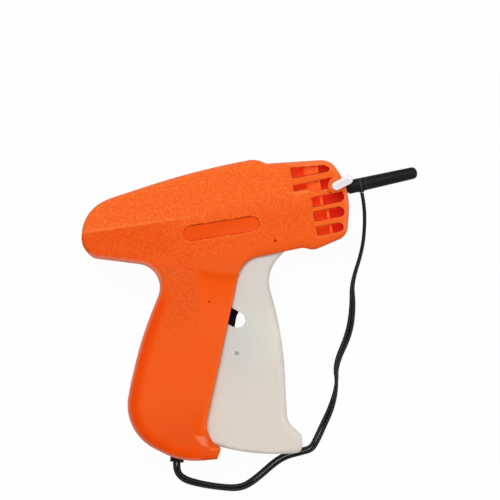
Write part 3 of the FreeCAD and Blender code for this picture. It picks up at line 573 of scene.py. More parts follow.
def ringMesh(name, rings):
    # faces between following rings of points, then one across each end
    sides = len(rings[0])
    faces = []
    for low in range(0, (len(rings) - 1) * sides, sides):
        for k in range(sides):
            following = (k + 1) % sides
            faces.append((low + k, low + following, low + sides + following, low + sides + k))
    last = (len(rings) - 1) * sides
    faces += [tuple(reversed(range(sides))), tuple(range(last, last + sides))]
    mesh = bpy.data.meshes.new(name)
    mesh.from_pydata([corner for points in rings for corner in points], [], faces)
    return mesh


def evaluated(piece):
    return bpy.data.meshes.new_from_object(piece.evaluated_get(bpy.context.evaluated_depsgraph_get()))


# cord: two strands from the grip's heel to the needle cap
cordSizes = {
    "strand": 0.84,  # radius of one strand
    "apart": 0.88,  # each strand from the middle of the pair
    "sides": 14,
    "smoothness": 10,
    "heelAim": 253.0,  # way the cord leaves the grip
    # middle of the pair as x, y, z and how far it has twisted, in degrees
    "route": [
        (-100.7, -105.6, 14.0, 180), (-101.8, -109.3, 14.0, 180), (-99.8, -113.6, 13.2, 172),
        (-94.3, -116.9, 8.1, 155), (-84.5, -120.8, 2.1, 140), (-74.8, -123.4, 1.25, 160),
        (-66.8, -120.3, 1.0, 180), (-54.8, -113.2, 0.92, 180), (-45.4, -112.5, 0.92, 180),
        (-40.3, -112.3, 0.95, 182), (-37.4, -109.2, 1.05, 185), (-33.2, -103.4, 1.15, 195),
        (-27.4, -95.6, 1.35, 215), (-23.0, -86.0, 1.7, 265), (-22.0, -77.0, 1.6, 310),
        (-12.9, -64.6, 1.05, 355), (-8.8, -52.1, 1.5, 405), (-7.6, -42.8, 2.1, 440),
        (0.2, -29.0, 4.4, 450), (3.5, -18.3, 10.0, 450), (5.1, -9.0, 14.0, 450), (5.1, -3.5, 14.0, 450),
    ],
}


def heelWay():
    aim = math.radians(cordSizes["heelAim"])
    return Vector((math.cos(aim), math.sin(aim), 0))


def strandPoints(side):
    route = cordSizes["route"]
    places = [Vector(step[:3]) for step in route]
    last = len(places) - 1
    points = []
    for i, (spot, step) in enumerate(zip(places, route)):
        along = places[min(i + 1, last)] - places[max(i - 1, 0)]
        if i <= 1:
            along = heelWay()
        if i >= last - 1:
            along = Vector((0, 1, 0))
        across = Vector((along.y, -along.x, 0)).normalized()
        turn = math.radians(step[3])
        shift = across * math.cos(turn) + Vector((0, 0, 1)) * math.sin(turn)
        points.append(at(*(spot + shift * side * cordSizes["apart"])))
    return points


def smoothLine(points):
    curve = bpy.data.curves.new("cordLine", "CURVE")
    curve.dimensions = "3D"
    curve.resolution_u = cordSizes["smoothness"]
    spline = curve.splines.new("NURBS")
    spline.points.add(len(points) - 1)
    for point, spot in zip(spline.points, points):
        point.co = (*spot, 1.0)
    spline.order_u = 3
    spline.use_endpoint_u = True
    guide = newObject("cordLine", curve)
    line = evaluated(guide)
    spots = [vertex.co.copy() for vertex in line.vertices]
    bpy.data.objects.remove(guide)
    bpy.data.curves.remove(curve)
    bpy.data.meshes.remove(line)
    return spots


def tubeMesh(name, spots, radius, sides):
    # a closed tube along a line, with UVs of turns round it and millimetres along it
    rings = []
    travel = 0.0
    lengths = []
    across = None
    for i, spot in enumerate(spots):
        along = (spots[min(i + 1, len(spots) - 1)] - spots[max(i - 1, 0)]).normalized()
        if across is None:
            across = along.orthogonal().normalized()
        else:
            across = (across - along * across.dot(along)).normalized()
            travel += (spot - spots[i - 1]).length
        lengths.append(travel / mm)
        rings.append(ring(spot, across, along.cross(across), radius, sides))
    mesh = ringMesh(name, rings)
    marks = []
    for start, end in zip(lengths, lengths[1:]):
        for k in range(sides):
            marks += [(k / sides, start), ((k + 1) / sides, start), ((k + 1) / sides, end), (k / sides, end)]
    marks += [(0.0, 0.0)] * sides + [(0.0, lengths[-1])] * sides
    layer = mesh.uv_layers.new(name="strand")
    layer.data.foreach_set("uv", [value for mark in marks for value in mark])
    soften(mesh, 50)
    return mesh, travel


def addStrand(label, side):
    name = "cordStrand" + label.upper()
    spots = smoothLine(strandPoints(side))
    radius = cordSizes["strand"] * mm
    mesh, length = tubeMesh(name, spots, radius, cordSizes["sides"])
    strand = newObject(name, mesh)
    dress(strand, "black_cord", None, "cord_strand_" + label)
    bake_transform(strand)
    print("strand", label, "length", round(length / mm, 1))


addStrand("a", 1)
addStrand("b", -1)
print("cord laid")


# fields of numbers over the maker's drawing, in millimetres
def rise(value, low, high):
    share = np.clip((value - low) / (high - low), 0, 1)
    return share * share * (3 - 2 * share)


def fall(value, low, high):
    return 1 - rise(value, low, high)


def lineAt(spots, corners):
    # a line's value at each spot, from corners of spot and value
    return np.interp(spots, *zip(*sorted(corners)))


cornerStep = 6  # degrees of a rounded corner that each of its short lines takes


def roundedOutline(corners):
    # a closed line with each corner rounded as its third number says
    points = []
    for i, (x, y, radius) in enumerate(corners):
        here = np.array((x, y))
        before, after = (np.array(corners[k][:2]) - here for k in (i - 1, i + 1 - len(corners)))
        before /= np.linalg.norm(before)
        after /= np.linalg.norm(after)
        half = math.acos(max(-1, min(1, float(before @ after)))) / 2
        if radius <= 0 or half > math.pi / 2 - 0.001:
            points.append(here)
            continue
        reach = radius / math.tan(half)
        middle = here + (before + after) / np.linalg.norm(before + after) * radius / math.sin(half)
        start = here + before * reach - middle
        end = here + after * reach - middle
        crossed = np.array((-start[1], start[0]))
        sweep = math.pi - 2 * half
        side = 1 if crossed @ end > 0 else -1
        steps = max(2, int(math.degrees(sweep) / cornerStep))
        for k in range(steps + 1):
            a = side * sweep * k / steps
            points.append(middle + (start * math.cos(a) + crossed * math.sin(a)))
    return points


def distanceInside(x, y, outline):
    # distance to the outline for places inside it, and 0 outside
    best = np.full(x.shape, 1e9)
    inside = np.zeros(x.shape, bool)
    for start, end in zip(outline, outline[1:] + outline[:1]):
        run = end - start
        square = float(run @ run)
        if square < 1e-12:
            continue
        share = np.clip(((x - start[0]) * run[0] + (y - start[1]) * run[1]) / square, 0, 1)
        best = np.minimum(best, np.hypot(x - start[0] - share * run[0], y - start[1] - share * run[1]))
        with np.errstate(divide="ignore", invalid="ignore"):
            side = x < start[0] + (y - start[1]) * run[0] / run[1]
        inside ^= ((start[1] > y) != (end[1] > y)) & side
    return np.where(inside, best, 0)


def rimDrop(inside, rim):
    # how far a rounded rim, given as width and depth, lies below the face
    share = np.clip(1 - inside / rim[0], 0, 1)
    return rim[1] * (1 - np.sqrt(1 - share ** 2))


def outlineDrop(x, y, sizes):
    # the same for a rim whose width and depth are given at places round the outline
    wide, deep, weights = 0, 0, 0
    for rimX, rimY, width, depth in sizes["rims"]:
        weight = 1 / ((x - rimX) ** 2 + (y - rimY) ** 2 + 2) ** 2
        wide = wide + weight * width
        deep = deep + weight * depth
        weights = weights + weight
    inside = distanceInside(x, y, roundedOutline(sizes["outline"]))
    return rimDrop(inside, (wide / weights, deep / weights))


# carved skins: a CAD node's solid, kept below a sculpted face
def rework(mesh, *steps):
    work = bmesh.new()
    work.from_mesh(mesh)
    for step in steps:
        step(work)
    work.to_mesh(mesh)
    work.free()
    return mesh


def weld(work):
    bmesh.ops.remove_doubles(work, verts=work.verts, dist=1e-7)


def intoTriangles(work):
    bmesh.ops.triangulate(work, faces=work.faces)


def faceOutwards(work):
    bmesh.ops.recalc_face_normals(work, faces=work.faces)


def fieldBlock(sizes, heightAt, far):
    # a closed block whose one face is a sculpted height and whose other face is flat, at far
    (spanX, spanY), step = sizes["spans"], sizes["step"]
    xs = np.arange(spanX[0], spanX[1] + step / 2, step)
    ys = np.arange(spanY[0], spanY[1] + step / 2, step)
    x, y = np.meshgrid(xs, ys)
    rows = list(zip(x.ravel(), y.ravel(), heightAt(x, y).ravel()))
    corners = ((0, 0), (1, 0), (1, 1), (0, 1))
    rows += [(spanX[right], spanY[upper], far) for right, upper in corners]
    base = x.size
    index = np.arange(base).reshape(x.shape)
    quads = np.stack([index[:-1, :-1], index[:-1, 1:], index[1:, 1:], index[1:, :-1]], axis=-1)
    faces = quads.reshape(-1, 4).tolist()
    for k, side in enumerate((index[0], index[:, -1], index[-1, ::-1], index[::-1, 0])):
        faces.append(side[::-1].tolist() + [base + k, base + (k + 1) % 4])
    faces.append([base + 3, base + 2, base + 1, base])
    mesh = bpy.data.meshes.new("fieldBlock")
    mesh.from_pydata([at(*row) for row in rows], [], faces)
    return newObject("fieldBlock", rework(mesh, intoTriangles, faceOutwards))


def settle(piece):
    # the piece's modifiers worked out into its mesh
    mesh = evaluated(piece)
    piece.modifiers.clear()
    piece.data = mesh
    mesh.name = piece.name


def carvedSkin(name, node, *blocks):
    # a merged copy of the node's mesh, kept inside each block
    mesh = rework(nodes[node].data.copy(), weld)
    mesh.materials.clear()
    piece = newObject(name, mesh)
    for block in blocks:
        cut = piece.modifiers.new("carve", "BOOLEAN")
        cut.operation = "INTERSECT"
        cut.solver = "MANIFOLD"
        cut.object = block
    settle(piece)
    for block in blocks:
        bpy.data.objects.remove(block)
    soften(piece.data)
    even = piece.modifiers.new("even", "WEIGHTED_NORMAL")  # keeps the flat floors of recesses flat
    even.keep_sharp = True
    even.weight = 100
    settle(piece)
    return piece


# casing halves
casingSizes = {
    "thick": 28.0,
    "skim": 0.03,  # kept off the solid's own faces
    "step": 0.5,
    "spans": ((-125.0, 1.5), (-110.0, 23.0)),
    "outline": [
        (-123.9, -1.8, 10), (-119.1, 13.0, 17), (-107.6, 16.4, 31), (-67.1, 21.1, 350), (-38.9, 20.9, 10.5),
        (-34.4, 17.8, 2.9), (-6.1, 13.9, 8), (0.5, -0.7, 30), (-5.3, -21.4, 6.5), (-21.3, -24.7, 6),
        (-25.7, -22.6, 5), (-54.0, -22.6, 11), (-86.5, -96.5, 12.5), (-80.0, -103.9, 1), (-82.7, -108.2, 0),
        (-98.7, -106.4, 30), (-122.4, -87.6, 22), (-113.8, -66.4, 62), (-105.1, -47.6, 160),
        (-86.6, -19.5, 10.5), (-119.3, -8.5, 4.7),
    ],
    # x, y, width and depth of the face's rim at places round the outline
    "rims": [
        (-122.7, 0, 2.6, 2.3), (-112, 15, 2.4, 2.2), (-90, 19, 2.4, 2.2), (-60, 21, 2.4, 2.2),
        (-33, 17.5, 2.4, 2.2), (-15, 15, 2.4, 2.2), (-2, 6, 2.4, 2.2), (-2, -12, 2.4, 2.2),
        (-12, -23, 2.8, 2.2), (-24, -24, 3.4, 2.0), (-36, -22.6, 4.2, 1.8), (-48, -22.6, 4.2, 1.8),
        (-55, -25, 1.8, 1.2), (-62, -41, 0.7, 0.6), (-75, -69, 0.7, 0.6), (-84, -92, 0.7, 0.6),
        (-81, -104, 1.2, 1.0), (-90, -107.3, 3.0, 2.6), (-100, -104.2, 4.6, 3.6), (-111, -96.5, 5.6, 4.2),
        (-118, -81, 6.0, 4.5), (-113, -63.5, 6.0, 4.5), (-103, -45, 6.0, 4.5), (-95, -32.5, 5.5, 4.2),
        (-92.3, -25, 4.5, 3.6), (-97, -16.5, 3.6, 3.2), (-110, -11.8, 3.0, 2.8), (-119, -8.4, 3.0, 2.8),
    ],
    "crease": (1.1, -0.0545, -74.2),  # height of the barrel's crease, its slope, and where
    "facetDrop": 1.5,
    "facetWidth": 12.5,
    "facetMost": 1.15,  # share of the drop where the facet ends
    "facetFade": ((-94, -72), (12, 26)),  # forwards in x and down in -y
    "scoopTop": [(-90, -18.0), (-73.4, -22.5), (-67.5, -25.3), (-56.7, -27.8), (-45, -29)],  # x and y
    "scoopDepth": 1.1,
    "scoopFade": ((-0.5, 4.5), (8, 36)),  # into it and out of it, below its top line
    # the next two are lines as y and x
    "scoopLeft": [(-18, -73.6), (-30, -74.8), (-51, -75.5)],
    "noseEdge": [(30, -24.6), (17, -24.6), (3.0, -25.8), (0.9, -17.3), (-19.7, -19.4), (-40, -19.6)],
    "noseStep": 0.18,
    "noseSoft": 0.3,
    "knobRing": (-5.3, 1.85, 4.6),
    "ringTop": 32.0,  # clear of the knob's ring, so that it keeps its own face
    "ringCut": (-3.3, -1.1, 22.0),  # front and top of the louvre under the ring, and how deep
}


def belowCrease(x, y):
    high, slope, where = casingSizes["crease"]
    return high + slope * (x - where) - y


def belowScoop(x, y):
    return lineAt(x, casingSizes["scoopTop"]) - y


def pastScoop(x, y, soft):
    return rise(x - lineAt(y, casingSizes["scoopLeft"]), -soft, soft)


def noseMask(x, y):
    # 1 ahead of the textured part's edge, on the smooth nose
    soft = casingSizes["noseSoft"]
    return rise(x - lineAt(y, casingSizes["noseEdge"]), -soft, soft)


def casingDrop(x, y):
    sizes = casingSizes
    forwards, downwards = sizes["facetFade"]
    facet = np.clip(belowCrease(x, y) / sizes["facetWidth"], 0, sizes["facetMost"])
    facet = facet * fall(x, *forwards) * fall(-y, *downwards)
    below = belowScoop(x, y)
    into, out = sizes["scoopFade"]
    scoop = rise(below, *into) * fall(below, *out)
    scoop *= pastScoop(x, y, 1.0 + 5 * rise(below, 2, 28))
    step = noseMask(x, y) * sizes["noseStep"]
    return outlineDrop(x, y, sizes) + facet * sizes["facetDrop"] + scoop * sizes["scoopDepth"] + step


def casingTop(x, y):
    sizes = casingSizes
    flat = sizes["thick"] - sizes["skim"] - casingDrop(x, y)
    ringX, ringY, reach = sizes["knobRing"]
    onRing = np.hypot(x - ringX, y - ringY) < reach
    front, top, deep = sizes["ringCut"]
    overLouvre = onRing & (y < top) & (x < front)
    return np.where(overLouvre, deep, np.where(onRing, sizes["ringTop"], flat))


def casingFloor(x, y):
    return casingSizes["skim"] + casingDrop(x, y)


# colours of the casing's areas, many of them painted shade and painted highlights, and the lines and shapes
# that bound them
casingColours = {
    "smooth": (246, 93, 26), "barrelLow": (246, 97, 27), "barrelLitTop": (253, 109, 39),
    "nose": (249, 101, 31), "heel": (234, 83, 20), "strip": (241, 93, 26), "web": (231, 92, 31),
    "facet": (245, 92, 22), "creaseHighlight": (255, 124, 58), "rearShade": (244, 77, 3),
    "shadeBand": (241, 94, 30), "scoop": (245, 88, 9), "frontEdgeLight": (246, 98, 28),
    "noseRimLight": (248, 134, 84), "highRimLight": (240, 134, 90), "lowRimLight": (250, 150, 124),
    "toeDentShade": (230, 82, 22), "toe": (247, 124, 78), "toeLipHighlight": (255, 106, 36), "holeShade": (220, 66, 14),
}
paintSizes = {
    # lower edge of the barrel's texture, as x and y
    "barrelEdge": [(-62, -18.8), (-60, -19.8), (-52, -17.0), (-45, -16.2), (-19, -19.8)],
    # edges of the grip's textured strip and of its front, as y and x
    "stripLeft": [(-14, -91.5), (-20, -88.0), (-34, -89.8), (-46, -95.0), (-56, -97.0)],
    "stripRight": [(-14, -75.0), (-24, -74.6), (-37, -76.0), (-50, -79.5), (-58, -83.0)],
    "gripFront": [(-22.6, -53.0), (-96.5, -86.2), (-103.9, -80.6)],
    # corners and softness of the small planes at the grip's toe: painted shade in its dent, a painted
    # highlight on the toe and on its lip
    "toePlanes": {
        "toeDentShade": ([(-85.3, -96.3), (-81.0, -99.6), (-80.6, -103.6), (-86.0, -102.1)], 1.0),
        "toe": ([(-91.6, -95.2), (-85.2, -96.4), (-84.9, -103.2), (-88.6, -101.2)], 1.3),
        "toeLipHighlight": ([(-85.6, -102.2), (-80.0, -103.4), (-80.0, -104.7), (-85.0, -104.2)], 0.5),
    },
    # x, y and radius of each pinhole's shade
    "holes": [(-37.4, -17.1, 0.95), (-72.1, -38.0, 0.7)],
    "web": (-88.5, -20.0),
    "underside": -22.6,
}


def paintLayer(mesh, name, kind, field, values):
    layer = mesh.attributes.new(name, kind, "POINT")
    layer.data.foreach_set(field, np.asarray(values, dtype=np.float32).ravel())


def paintCasing(mesh):
    sizes = paintSizes
    flat = np.empty(len(mesh.vertices) * 3)
    mesh.vertices.foreach_get("co", flat)
    x, y, z = flat.reshape(-1, 3).T / mm - np.array([[*drawingShift, 0]]).T
    top = z > middleHeight
    barrel = rise(y - lineAt(x, sizes["barrelEdge"]), -0.8, 0.8)
    width = 1.0 + 2.5 * rise(-y, 24, 50)
    strip = rise(x - lineAt(y, sizes["stripLeft"]), -width, width)
    strip *= rise(lineAt(y, sizes["stripRight"]) - x, -width, width)
    strip *= rise(-y, 12, 15) * fall(-y, 38, 60)
    nose = noseMask(x, y)
    paintLayer(mesh, "grain", "FLOAT", "value", np.maximum(barrel, strip) * (1 - nose))

    # the casing's colour: its areas' own colours, with painted shade and painted highlights laid over them
    shade = np.empty((len(x), 4))
    shade[:] = fromScreen(*casingColours["smooth"])

    def lay(colour, cover):
        share = np.clip(cover, 0, 1)[:, None]
        shade[:] = shade * (1 - share) + np.array(fromScreen(*casingColours[colour])) * share

    inside = distanceInside(x, y, roundedOutline(casingSizes["outline"]))
    lay("barrelLow", barrel)
    # painted highlight: the barrel lighter above its crease, where it faces the light
    lay("barrelLitTop", barrel * rise(y, -7, 5))
    lay("nose", nose)
    # painted shade, darker towards the heel
    lay("heel", rise(-y, 72, 106))
    lay("strip", strip)
    # painted shade in the inner corner of the web, where the grip meets the barrel
    webX, webY = sizes["web"]
    lay("web", fall(np.hypot(x - webX, y - webY), 1.5, 6.5))
    crease = belowCrease(x, y)
    # painted shade on the facet below the crease, over its real tilt
    lay("facet", rise(crease, 0.0, 0.8) * fall(x, -92, -68) * fall(-y, 14, 24))
    # painted highlight along the crease
    lay("creaseHighlight", fall(np.abs(crease + 0.3), 0.2, 0.8) * fall(x, -90, -62) * (x > -121.5) * 0.9)
    # painted shade in a band along the grip's rounded rear edge
    lay("rearShade", fall(inside, 3.5, 7.5) * rise(-y, 26, 36) * rise(-x, 84, 92))
    scoop = belowScoop(x, y)
    frontward = pastScoop(x, y, 0.6)
    # painted shade in a band above the scoop's top, where the face turns down into it
    lay("shadeBand", frontward * fall(np.abs(scoop + 3.2), 2.0, 4.6) * (x < -52))
    # painted shade in the scoop
    lay("scoop", frontward * rise(scoop, -0.5, 0.6) * fall(scoop, 4, 22))
    # painted highlight along the grip's front edge
    ahead = lineAt(y, sizes["gripFront"]) - x
    lay("frontEdgeLight", fall(ahead, 1.2, 3.0) * rise(-y, 25, 30) * fall(-y, 92, 98))
    # painted shade along the barrel's underside, which turns away from the light
    under = fall(y - sizes["underside"], 1.2, 5.0) * rise(x, -54, -50) * fall(x, -10, -4)
    lay("shadeBand", under * (y > -27) * 0.7)
    # painted highlights and painted reflection on the rounded rims: the nose's, the barrel's top edge, and
    # the lower rear edges
    lay("noseRimLight", fall(inside, 1.0, 2.4) * (x > -26) * (y > -19) * 0.45)
    lay("highRimLight", fall(inside, 0.3, 1.4) * (y > 2) * (x < -20) * 0.5)
    lay("lowRimLight", fall(inside, 0.3, 2.4) * rise(-y, 4, 8) * fall(-y, 20, 27) * (x < -80))
    lay("lowRimLight", fall(inside, 0.3, 1.7) * rise(-y, 20, 27) * (x < -90) * 0.6)
    # painted shade and painted highlights on the toe's small planes
    for colour, (corners, soft) in sizes["toePlanes"].items():
        lay(colour, rise(distanceInside(x, y, [np.array(spot) for spot in corners]), 0, soft) * top)
    # painted shade round each pinhole
    for holeX, holeY, reach in sizes["holes"]:
        lay("holeShade", fall(np.hypot(x - holeX, y - holeY), reach - 0.35, reach) * top)
    paintLayer(mesh, "shade", "FLOAT_COLOR", "color", shade)


farUnder, farOver = -6.0, 36.0  # flat faces of the carving blocks, clear of the tool


def addCasing():
    for side, heightAt, far in (("right", casingTop, farUnder), ("left", casingFloor, farOver)):
        shell = carvedSkin(side + "Shell", side + "_body", fieldBlock(casingSizes, heightAt, far))
        paintCasing(shell.data)
        dress(shell, "orange_casing", "casing", side + "_body")


addCasing()
print("casing carved")


# trigger
triggerSizes = {
    "top": 25.2,
    "bottom": 2.8,
    "skim": 0.03,
    "step": 0.6,
    "spans": ((-92.0, -28.0), (-116.0, -9.0)),
    "outline": [
        (-33.4, -13.4, 4.1), (-33.1, -21.8, 1.9), (-44.91, -29.92, 15.5), (-42.42, -58.05, 160),
        (-48.33, -98.02, 8), (-43.11, -105.4, 2.6), (-44.39, -112.81, 3.2), (-67.22, -110.41, 95.2),
        (-86.35, -99.63, 2), (-86.7, -87.0, 12), (-62.5, -30.0, 4), (-41.8, -13.4, 4.1),
    ],
    # x, y, width and depth of the rim at places round the outline
    "rims": [
        (-37, -14, 1.8, 1.8), (-34, -24, 2.6, 2.4), (-43, -31, 3.4, 2.6), (-43.5, -50, 3.6, 2.6),
        (-44.5, -72, 3.6, 2.6), (-48, -94, 3.6, 2.6), (-45, -103, 3.2, 2.6), (-44, -110, 2.4, 2.2),
        (-56, -111, 1.4, 1.4), (-72, -106.5, 1.4, 1.4), (-85, -98, 1.6, 1.6), (-87, -88, 1.8, 1.8),
        (-74, -58, 1.8, 1.8), (-63, -32, 1.8, 1.8),
    ],
}


def addTrigger():
    sizes = triggerSizes

    def upper(x, y):
        return sizes["top"] - sizes["skim"] - outlineDrop(x, y, sizes)

    def lower(x, y):
        return sizes["bottom"] + sizes["skim"] + outlineDrop(x, y, sizes)

    skin = carvedSkin("triggerSkin", "trigger", *(
        fieldBlock(sizes, face, far)
        for face, far in ((upper, farUnder), (lower, farOver))))
    dress(skin, "natural_trigger", "trigger", "trigger")


addTrigger()
print("trigger carved")


# turning knob at the nose, with a rounded top
knobSizes = {
    "start": (-5.68, 1.6),
    "reach": 6.15,  # between the centres of its round ends
    "tilt": 16.0,
    "radius": 2.0,
    "corner": 0.995,  # share of the radius that its outline's corners take
    "top": 31.8,
    "skim": 0.02,
    "under": 29.1,
    "rim": (1.1, 0.9),
    "step": 0.1,
    "spans": ((-9.0, 4.2), (-2.0, 7.0)),
    "far": 10.0,
}


def knobTop(x, y):
    sizes = knobSizes
    turn = math.radians(sizes["tilt"])
    along = np.array((math.cos(turn), math.sin(turn)))
    across = np.array((-along[1], along[0]))
    start = np.array(sizes["start"])
    radius = sizes["radius"]
    ends = (-radius, sizes["reach"] + radius)
    corners = [
        (*(start + along * ends[far] + across * side * radius), radius * sizes["corner"])
        for far, side in ((0, -1), (1, -1), (1, 1), (0, 1))]
    inside = distanceInside(x, y, roundedOutline(corners))
    crown = sizes["top"] - sizes["skim"] - rimDrop(inside, sizes["rim"])
    return np.where(inside > 0, crown, sizes["under"])


def addKnob():
    sizes = knobSizes
    block = fieldBlock(sizes, knobTop, sizes["far"])
    knob = carvedSkin("lockKnob", "needle_lock_knob", block)
    dress(knob, "white_knob", "needle_lock", "needle_lock_knob")


# turned pieces
def lathed(name, profile, start, way, sides=48):
    # profile: distance along the line and radius, from one end of the line to the other
    along = way.normalized()
    across = along.orthogonal().normalized()
    other = along.cross(across)
    rings = [
        ring(start + along * travel * mm, across, other, radius * mm, sides) for travel, radius in profile]
    return newObject(name, rework(ringMesh(name, rings), faceOutwards))


capSizes = {
    "rear": -0.6,
    "tip": 31.35,
    "tipRadius": 2.72,
    "tipFullness": 2.3,  # 2 is a plain ball end
    "tipSteps": 15,
    "tipFlat": 0.3,
    # before the middle of the tip's ball, and over its radius
    "shoulder": [(-1.0, 0.12), (-0.1, 0.02)],
    "clear": 9.0,  # radius behind the tip, where the cap keeps its own shape
    "clearSpan": (-4.6, 27.13),
    "lean": 1.0,  # how far it sits askew on the needle's foot, in degrees
    "sides": 64,
}


def addCap():
    sizes = capSizes
    radius, full, steps, clear = (sizes[key] for key in ("tipRadius", "tipFullness", "tipSteps", "clear"))
    centre = sizes["tip"] - radius
    profile = [(place, clear) for place in sizes["clearSpan"]]
    profile += [(centre + place, radius + over) for place, over in sizes["shoulder"]]
    for k in range(1, steps):
        share = math.sin(math.pi / 2 * k / steps)
        profile.append((centre + radius * share, radius * (1 - share ** full) ** (1 / full)))
    profile.append((sizes["tip"], sizes["tipFlat"]))
    block = lathed("capBlock", profile, at(0, 0, middleHeight), Vector((1, 0, 0)), sizes["sides"])
    cap = carvedSkin("needleCap", "needle_cap", block)
    foot = Matrix.Translation(at(sizes["rear"], 0, middleHeight))
    lean = Matrix.Rotation(math.radians(sizes["lean"]), 4, "Z")
    cap.data.transform(foot @ lean @ foot.inverted())
    dress(cap, "black_plastic", "cap", "needle_cap", finish="black_cap")


collarSizes = {
    # distance out of the grip and radius, from the knot's end to the open mouth
    "profile": [
        (-4.98, 1.9), (-4.8, 2.2), (-2.1, 2.2), (-2.08, 3.0), (-2.0, 3.1), (0.0, 3.1), (0.2, 3.04),
        (0.32, 2.85), (0.35, 2.5), (0.3, 2.25), (0.1, 2.1), (-0.5, 2.05), (-0.6, 1.0)],
}


def addCollar():
    collar = lathed("cordCollar", collarSizes["profile"], at(*cordSizes["route"][0][:3]), heelWay())
    soften(collar.data)
    dress(collar, "black_plastic", "casing", "cord_grommet")


addKnob()
addCap()
addCollar()
print("knob, cap and collar made")


# casing screws and return spring, each laid out by its own node tree
def startShape(name, inputs):
    return newGroup(name, "GeometryNodeTree", {"Geometry": None, **inputs}, {"Geometry": None})


def shape(kind, values=(), **settings):
    return addNode("GeometryNode" + kind, values, **settings).outputs[0]


def axes(**values):
    return addNode("CombineXYZ", values).outputs[0]


def layOut(given, made, instance, **values):
    # one instance on each point, made real and given its finish
    values.update(Points=given["Geometry"], Instance=instance)
    real = shape("RealizeInstances", {"Geometry": shape("InstanceOnPoints", values)})
    dressed = shape("SetMaterial", {"Geometry": real, "Material": given["Finish"]})
    link(dressed, made["Geometry"])
    return started["tree"]


def growPiece(name, verts, makeTree, inputs):
    # runs a tree on a mesh of loose points and keeps the result as a plain mesh
    mesh = bpy.data.meshes.new(name)
    mesh.from_pydata(verts, [], [])
    piece = newObject(name, mesh)
    modifier = piece.modifiers.new("grow", "NODES")
    modifier.node_group = makeTree(inputs)
    for item in modifier.node_group.interface.items_tree:
        if item.in_out == "INPUT" and item.name in inputs:
            modifier[item.identifier] = inputs[item.name]
    settle(piece)
    return piece


screwSizes = {
    "places": [(-112.5, 1.5), (-75.0, 14.4), (-34.8, 12.2), (-102.0, -93.5), (-27.0, -18.0)],
    "headLow": 1.0,
    "headSides": 40,
    "shankSides": 24,
    "inputs": {
        "Head Radius": 2.3 * mm,
        "Head Height": 1.6 * mm,
        "Rim": 0.35 * mm,
        "Recess Length": 2.9 * mm,
        "Recess Width": 0.65 * mm,
        "Recess Depth": 0.9 * mm,
        "Shank Radius": 1.2 * mm,
        "Shank Length": 20.4 * mm,
        "Seed": 7,
        "Finish": finishes["screw_steel"],
    },
}


def screwTree(inputs):
    given, made = startShape("crossScrews", inputs)

    def rod(sides, radius, length, foot):
        # an upright cylinder whose lower end is at the given height
        solid = shape("MeshCylinder", {"Vertices": sides, "Radius": radius, "Depth": length})
        lift = axes(Z=plus(foot, times(length, 0.5)))
        return shape("Transform", {"Geometry": solid, "Translation": lift})

    headRadius, headHeight, rim = given["Head Radius"], given["Head Height"], given["Rim"]
    headSides, shankSides = screwSizes["headSides"], screwSizes["shankSides"]
    foot = minus(headRadius, rim)
    crown = shape("MeshCone", {
        "Vertices": headSides, "Radius Top": headRadius, "Radius Bottom": foot, "Depth": rim})
    head = rod(headSides, headRadius, minus(headHeight, rim), rim)
    shank = rod(shankSides, given["Shank Radius"], given["Shank Length"], headHeight)
    solid = addNode("GeometryNodeMeshBoolean", operation="UNION", solver="EXACT")
    for part in (crown, head, shank):
        link(part, solid.inputs["Mesh 2"])
    cross = addNode("GeometryNodeJoinGeometry")
    deep = times(given["Recess Depth"], 2.0)
    for wide, long in (("Recess Width", "Recess Length"), ("Recess Length", "Recess Width")):
        box = axes(X=given[wide], Y=given[long], Z=deep)
        link(shape("MeshCube", {"Size": box}), cross.inputs[0])
    values = {"Mesh 1": solid.outputs[0], "Mesh 2": cross.outputs[0]}
    screw = shape("MeshBoolean", values, operation="DIFFERENCE", solver="EXACT")
    turn = addNode("FunctionNodeRandomValue", {"Seed": given["Seed"]}, data_type="FLOAT").outputs[1]
    return layOut(given, made, screw, Rotation=axes(Z=times(turn, math.pi)))


def addScrews():
    sizes = screwSizes
    verts = [at(x, y, sizes["headLow"]) for x, y in sizes["places"]]
    screws = growPiece("casingScrews", verts, screwTree, sizes["inputs"])
    soften(screws.data)
    dress(screws, "screw_steel", "casing", "casing_screws")


springSizes = {
    "start": -90.4,
    "stop": -34.6,
    "keep": 0.1145,  # share of its length that is left when it is fully squeezed
    "wireSides": 12,
    "closedPitch": 2.05,  # of an end turn, in wire radii
    "inputs": {
        "Turns": 8.0,
        "Radius": 2.9 * mm,
        "Wire": 0.4 * mm,
        "Length": 55.4 * mm,  # between the middles of its end turns
        "Closed Turns": 1.0,
        "Steps": 40,
        "Finish": finishes["spring_steel"],
    },
}


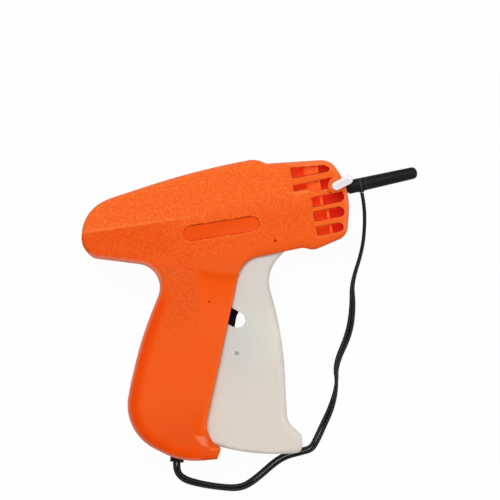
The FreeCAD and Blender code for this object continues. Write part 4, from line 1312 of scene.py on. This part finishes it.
def springTree(inputs):
    given, made = startShape("returnCoil", inputs)
    coil = shape("CurveSpiral", {
        "Resolution": given["Steps"], "Rotations": given["Turns"], "Start Radius": given["Radius"],
        "End Radius": given["Radius"], "Height": 1.0})
    share = shape("SplineParameter")
    closed = calc("DIVIDE", given["Closed Turns"], given["Turns"])
    far = minus(1.0, closed)
    flat = times(times(given["Wire"], springSizes["closedPitch"]), given["Closed Turns"])
    rest = minus(given["Length"], times(flat, 2.0))
    travel = 0.0
    for start, end, climb in ((0.0, closed, flat), (closed, far, rest), (far, 1.0, flat)):
        values = {"Value": share, "From Min": start, "From Max": end, "To Max": climb}
        travel = plus(travel, addNode("MapRange", values).outputs[0])
    spot = addNode("SeparateXYZ", {"Vector": shape("InputPosition")}).outputs
    laid = axes(X=travel, Y=spot["X"], Z=spot["Y"])
    line = shape("SetPosition", {"Geometry": coil, "Position": laid})
    section = shape("CurvePrimitiveCircle", {"Resolution": springSizes["wireSides"], "Radius": given["Wire"]})
    wire = shape("CurveToMesh", {"Curve": line, "Profile Curve": section, "Fill Caps": True})
    return layOut(given, made, wire)


def addSpring():
    sizes = springSizes
    coil = growPiece("returnCoil", [at(sizes["start"], 0, middleHeight)], springTree, sizes["inputs"])
    soften(coil.data, 60)
    dress(coil, "spring_steel", "casing", "return_spring")
    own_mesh(coil)


addScrews()
addSpring()
print("screws and spring laid out")


# pieces that keep their CAD shape
keptPieces = {
    "orange_guide": ["feed_guide"],
    "white_nylon": ["slide_block", "needle_lock_cam", "feed_wheel", "feed_pawl"],
    "black_plastic": ["drive_lever", "needle_seat", "needle_base"],
    "black_cord": ["cord_knot"],
    "pin_steel": [
        "trigger_pivot_pin", "trigger_cross_pin", "lever_pivot_pin", "lever_head_pin", "feed_axle",
        "pawl_pin"],
    "spring_steel": ["plunger_rod", "pawl_spring"],
    "needle_steel": ["needle_tube", "knife"],
}
for finish, names in keptPieces.items():
    for name in names:
        nodes[name].data.materials.clear()
        nodes[name].data.materials.append(finishes[finish])
print("kept pieces finished")
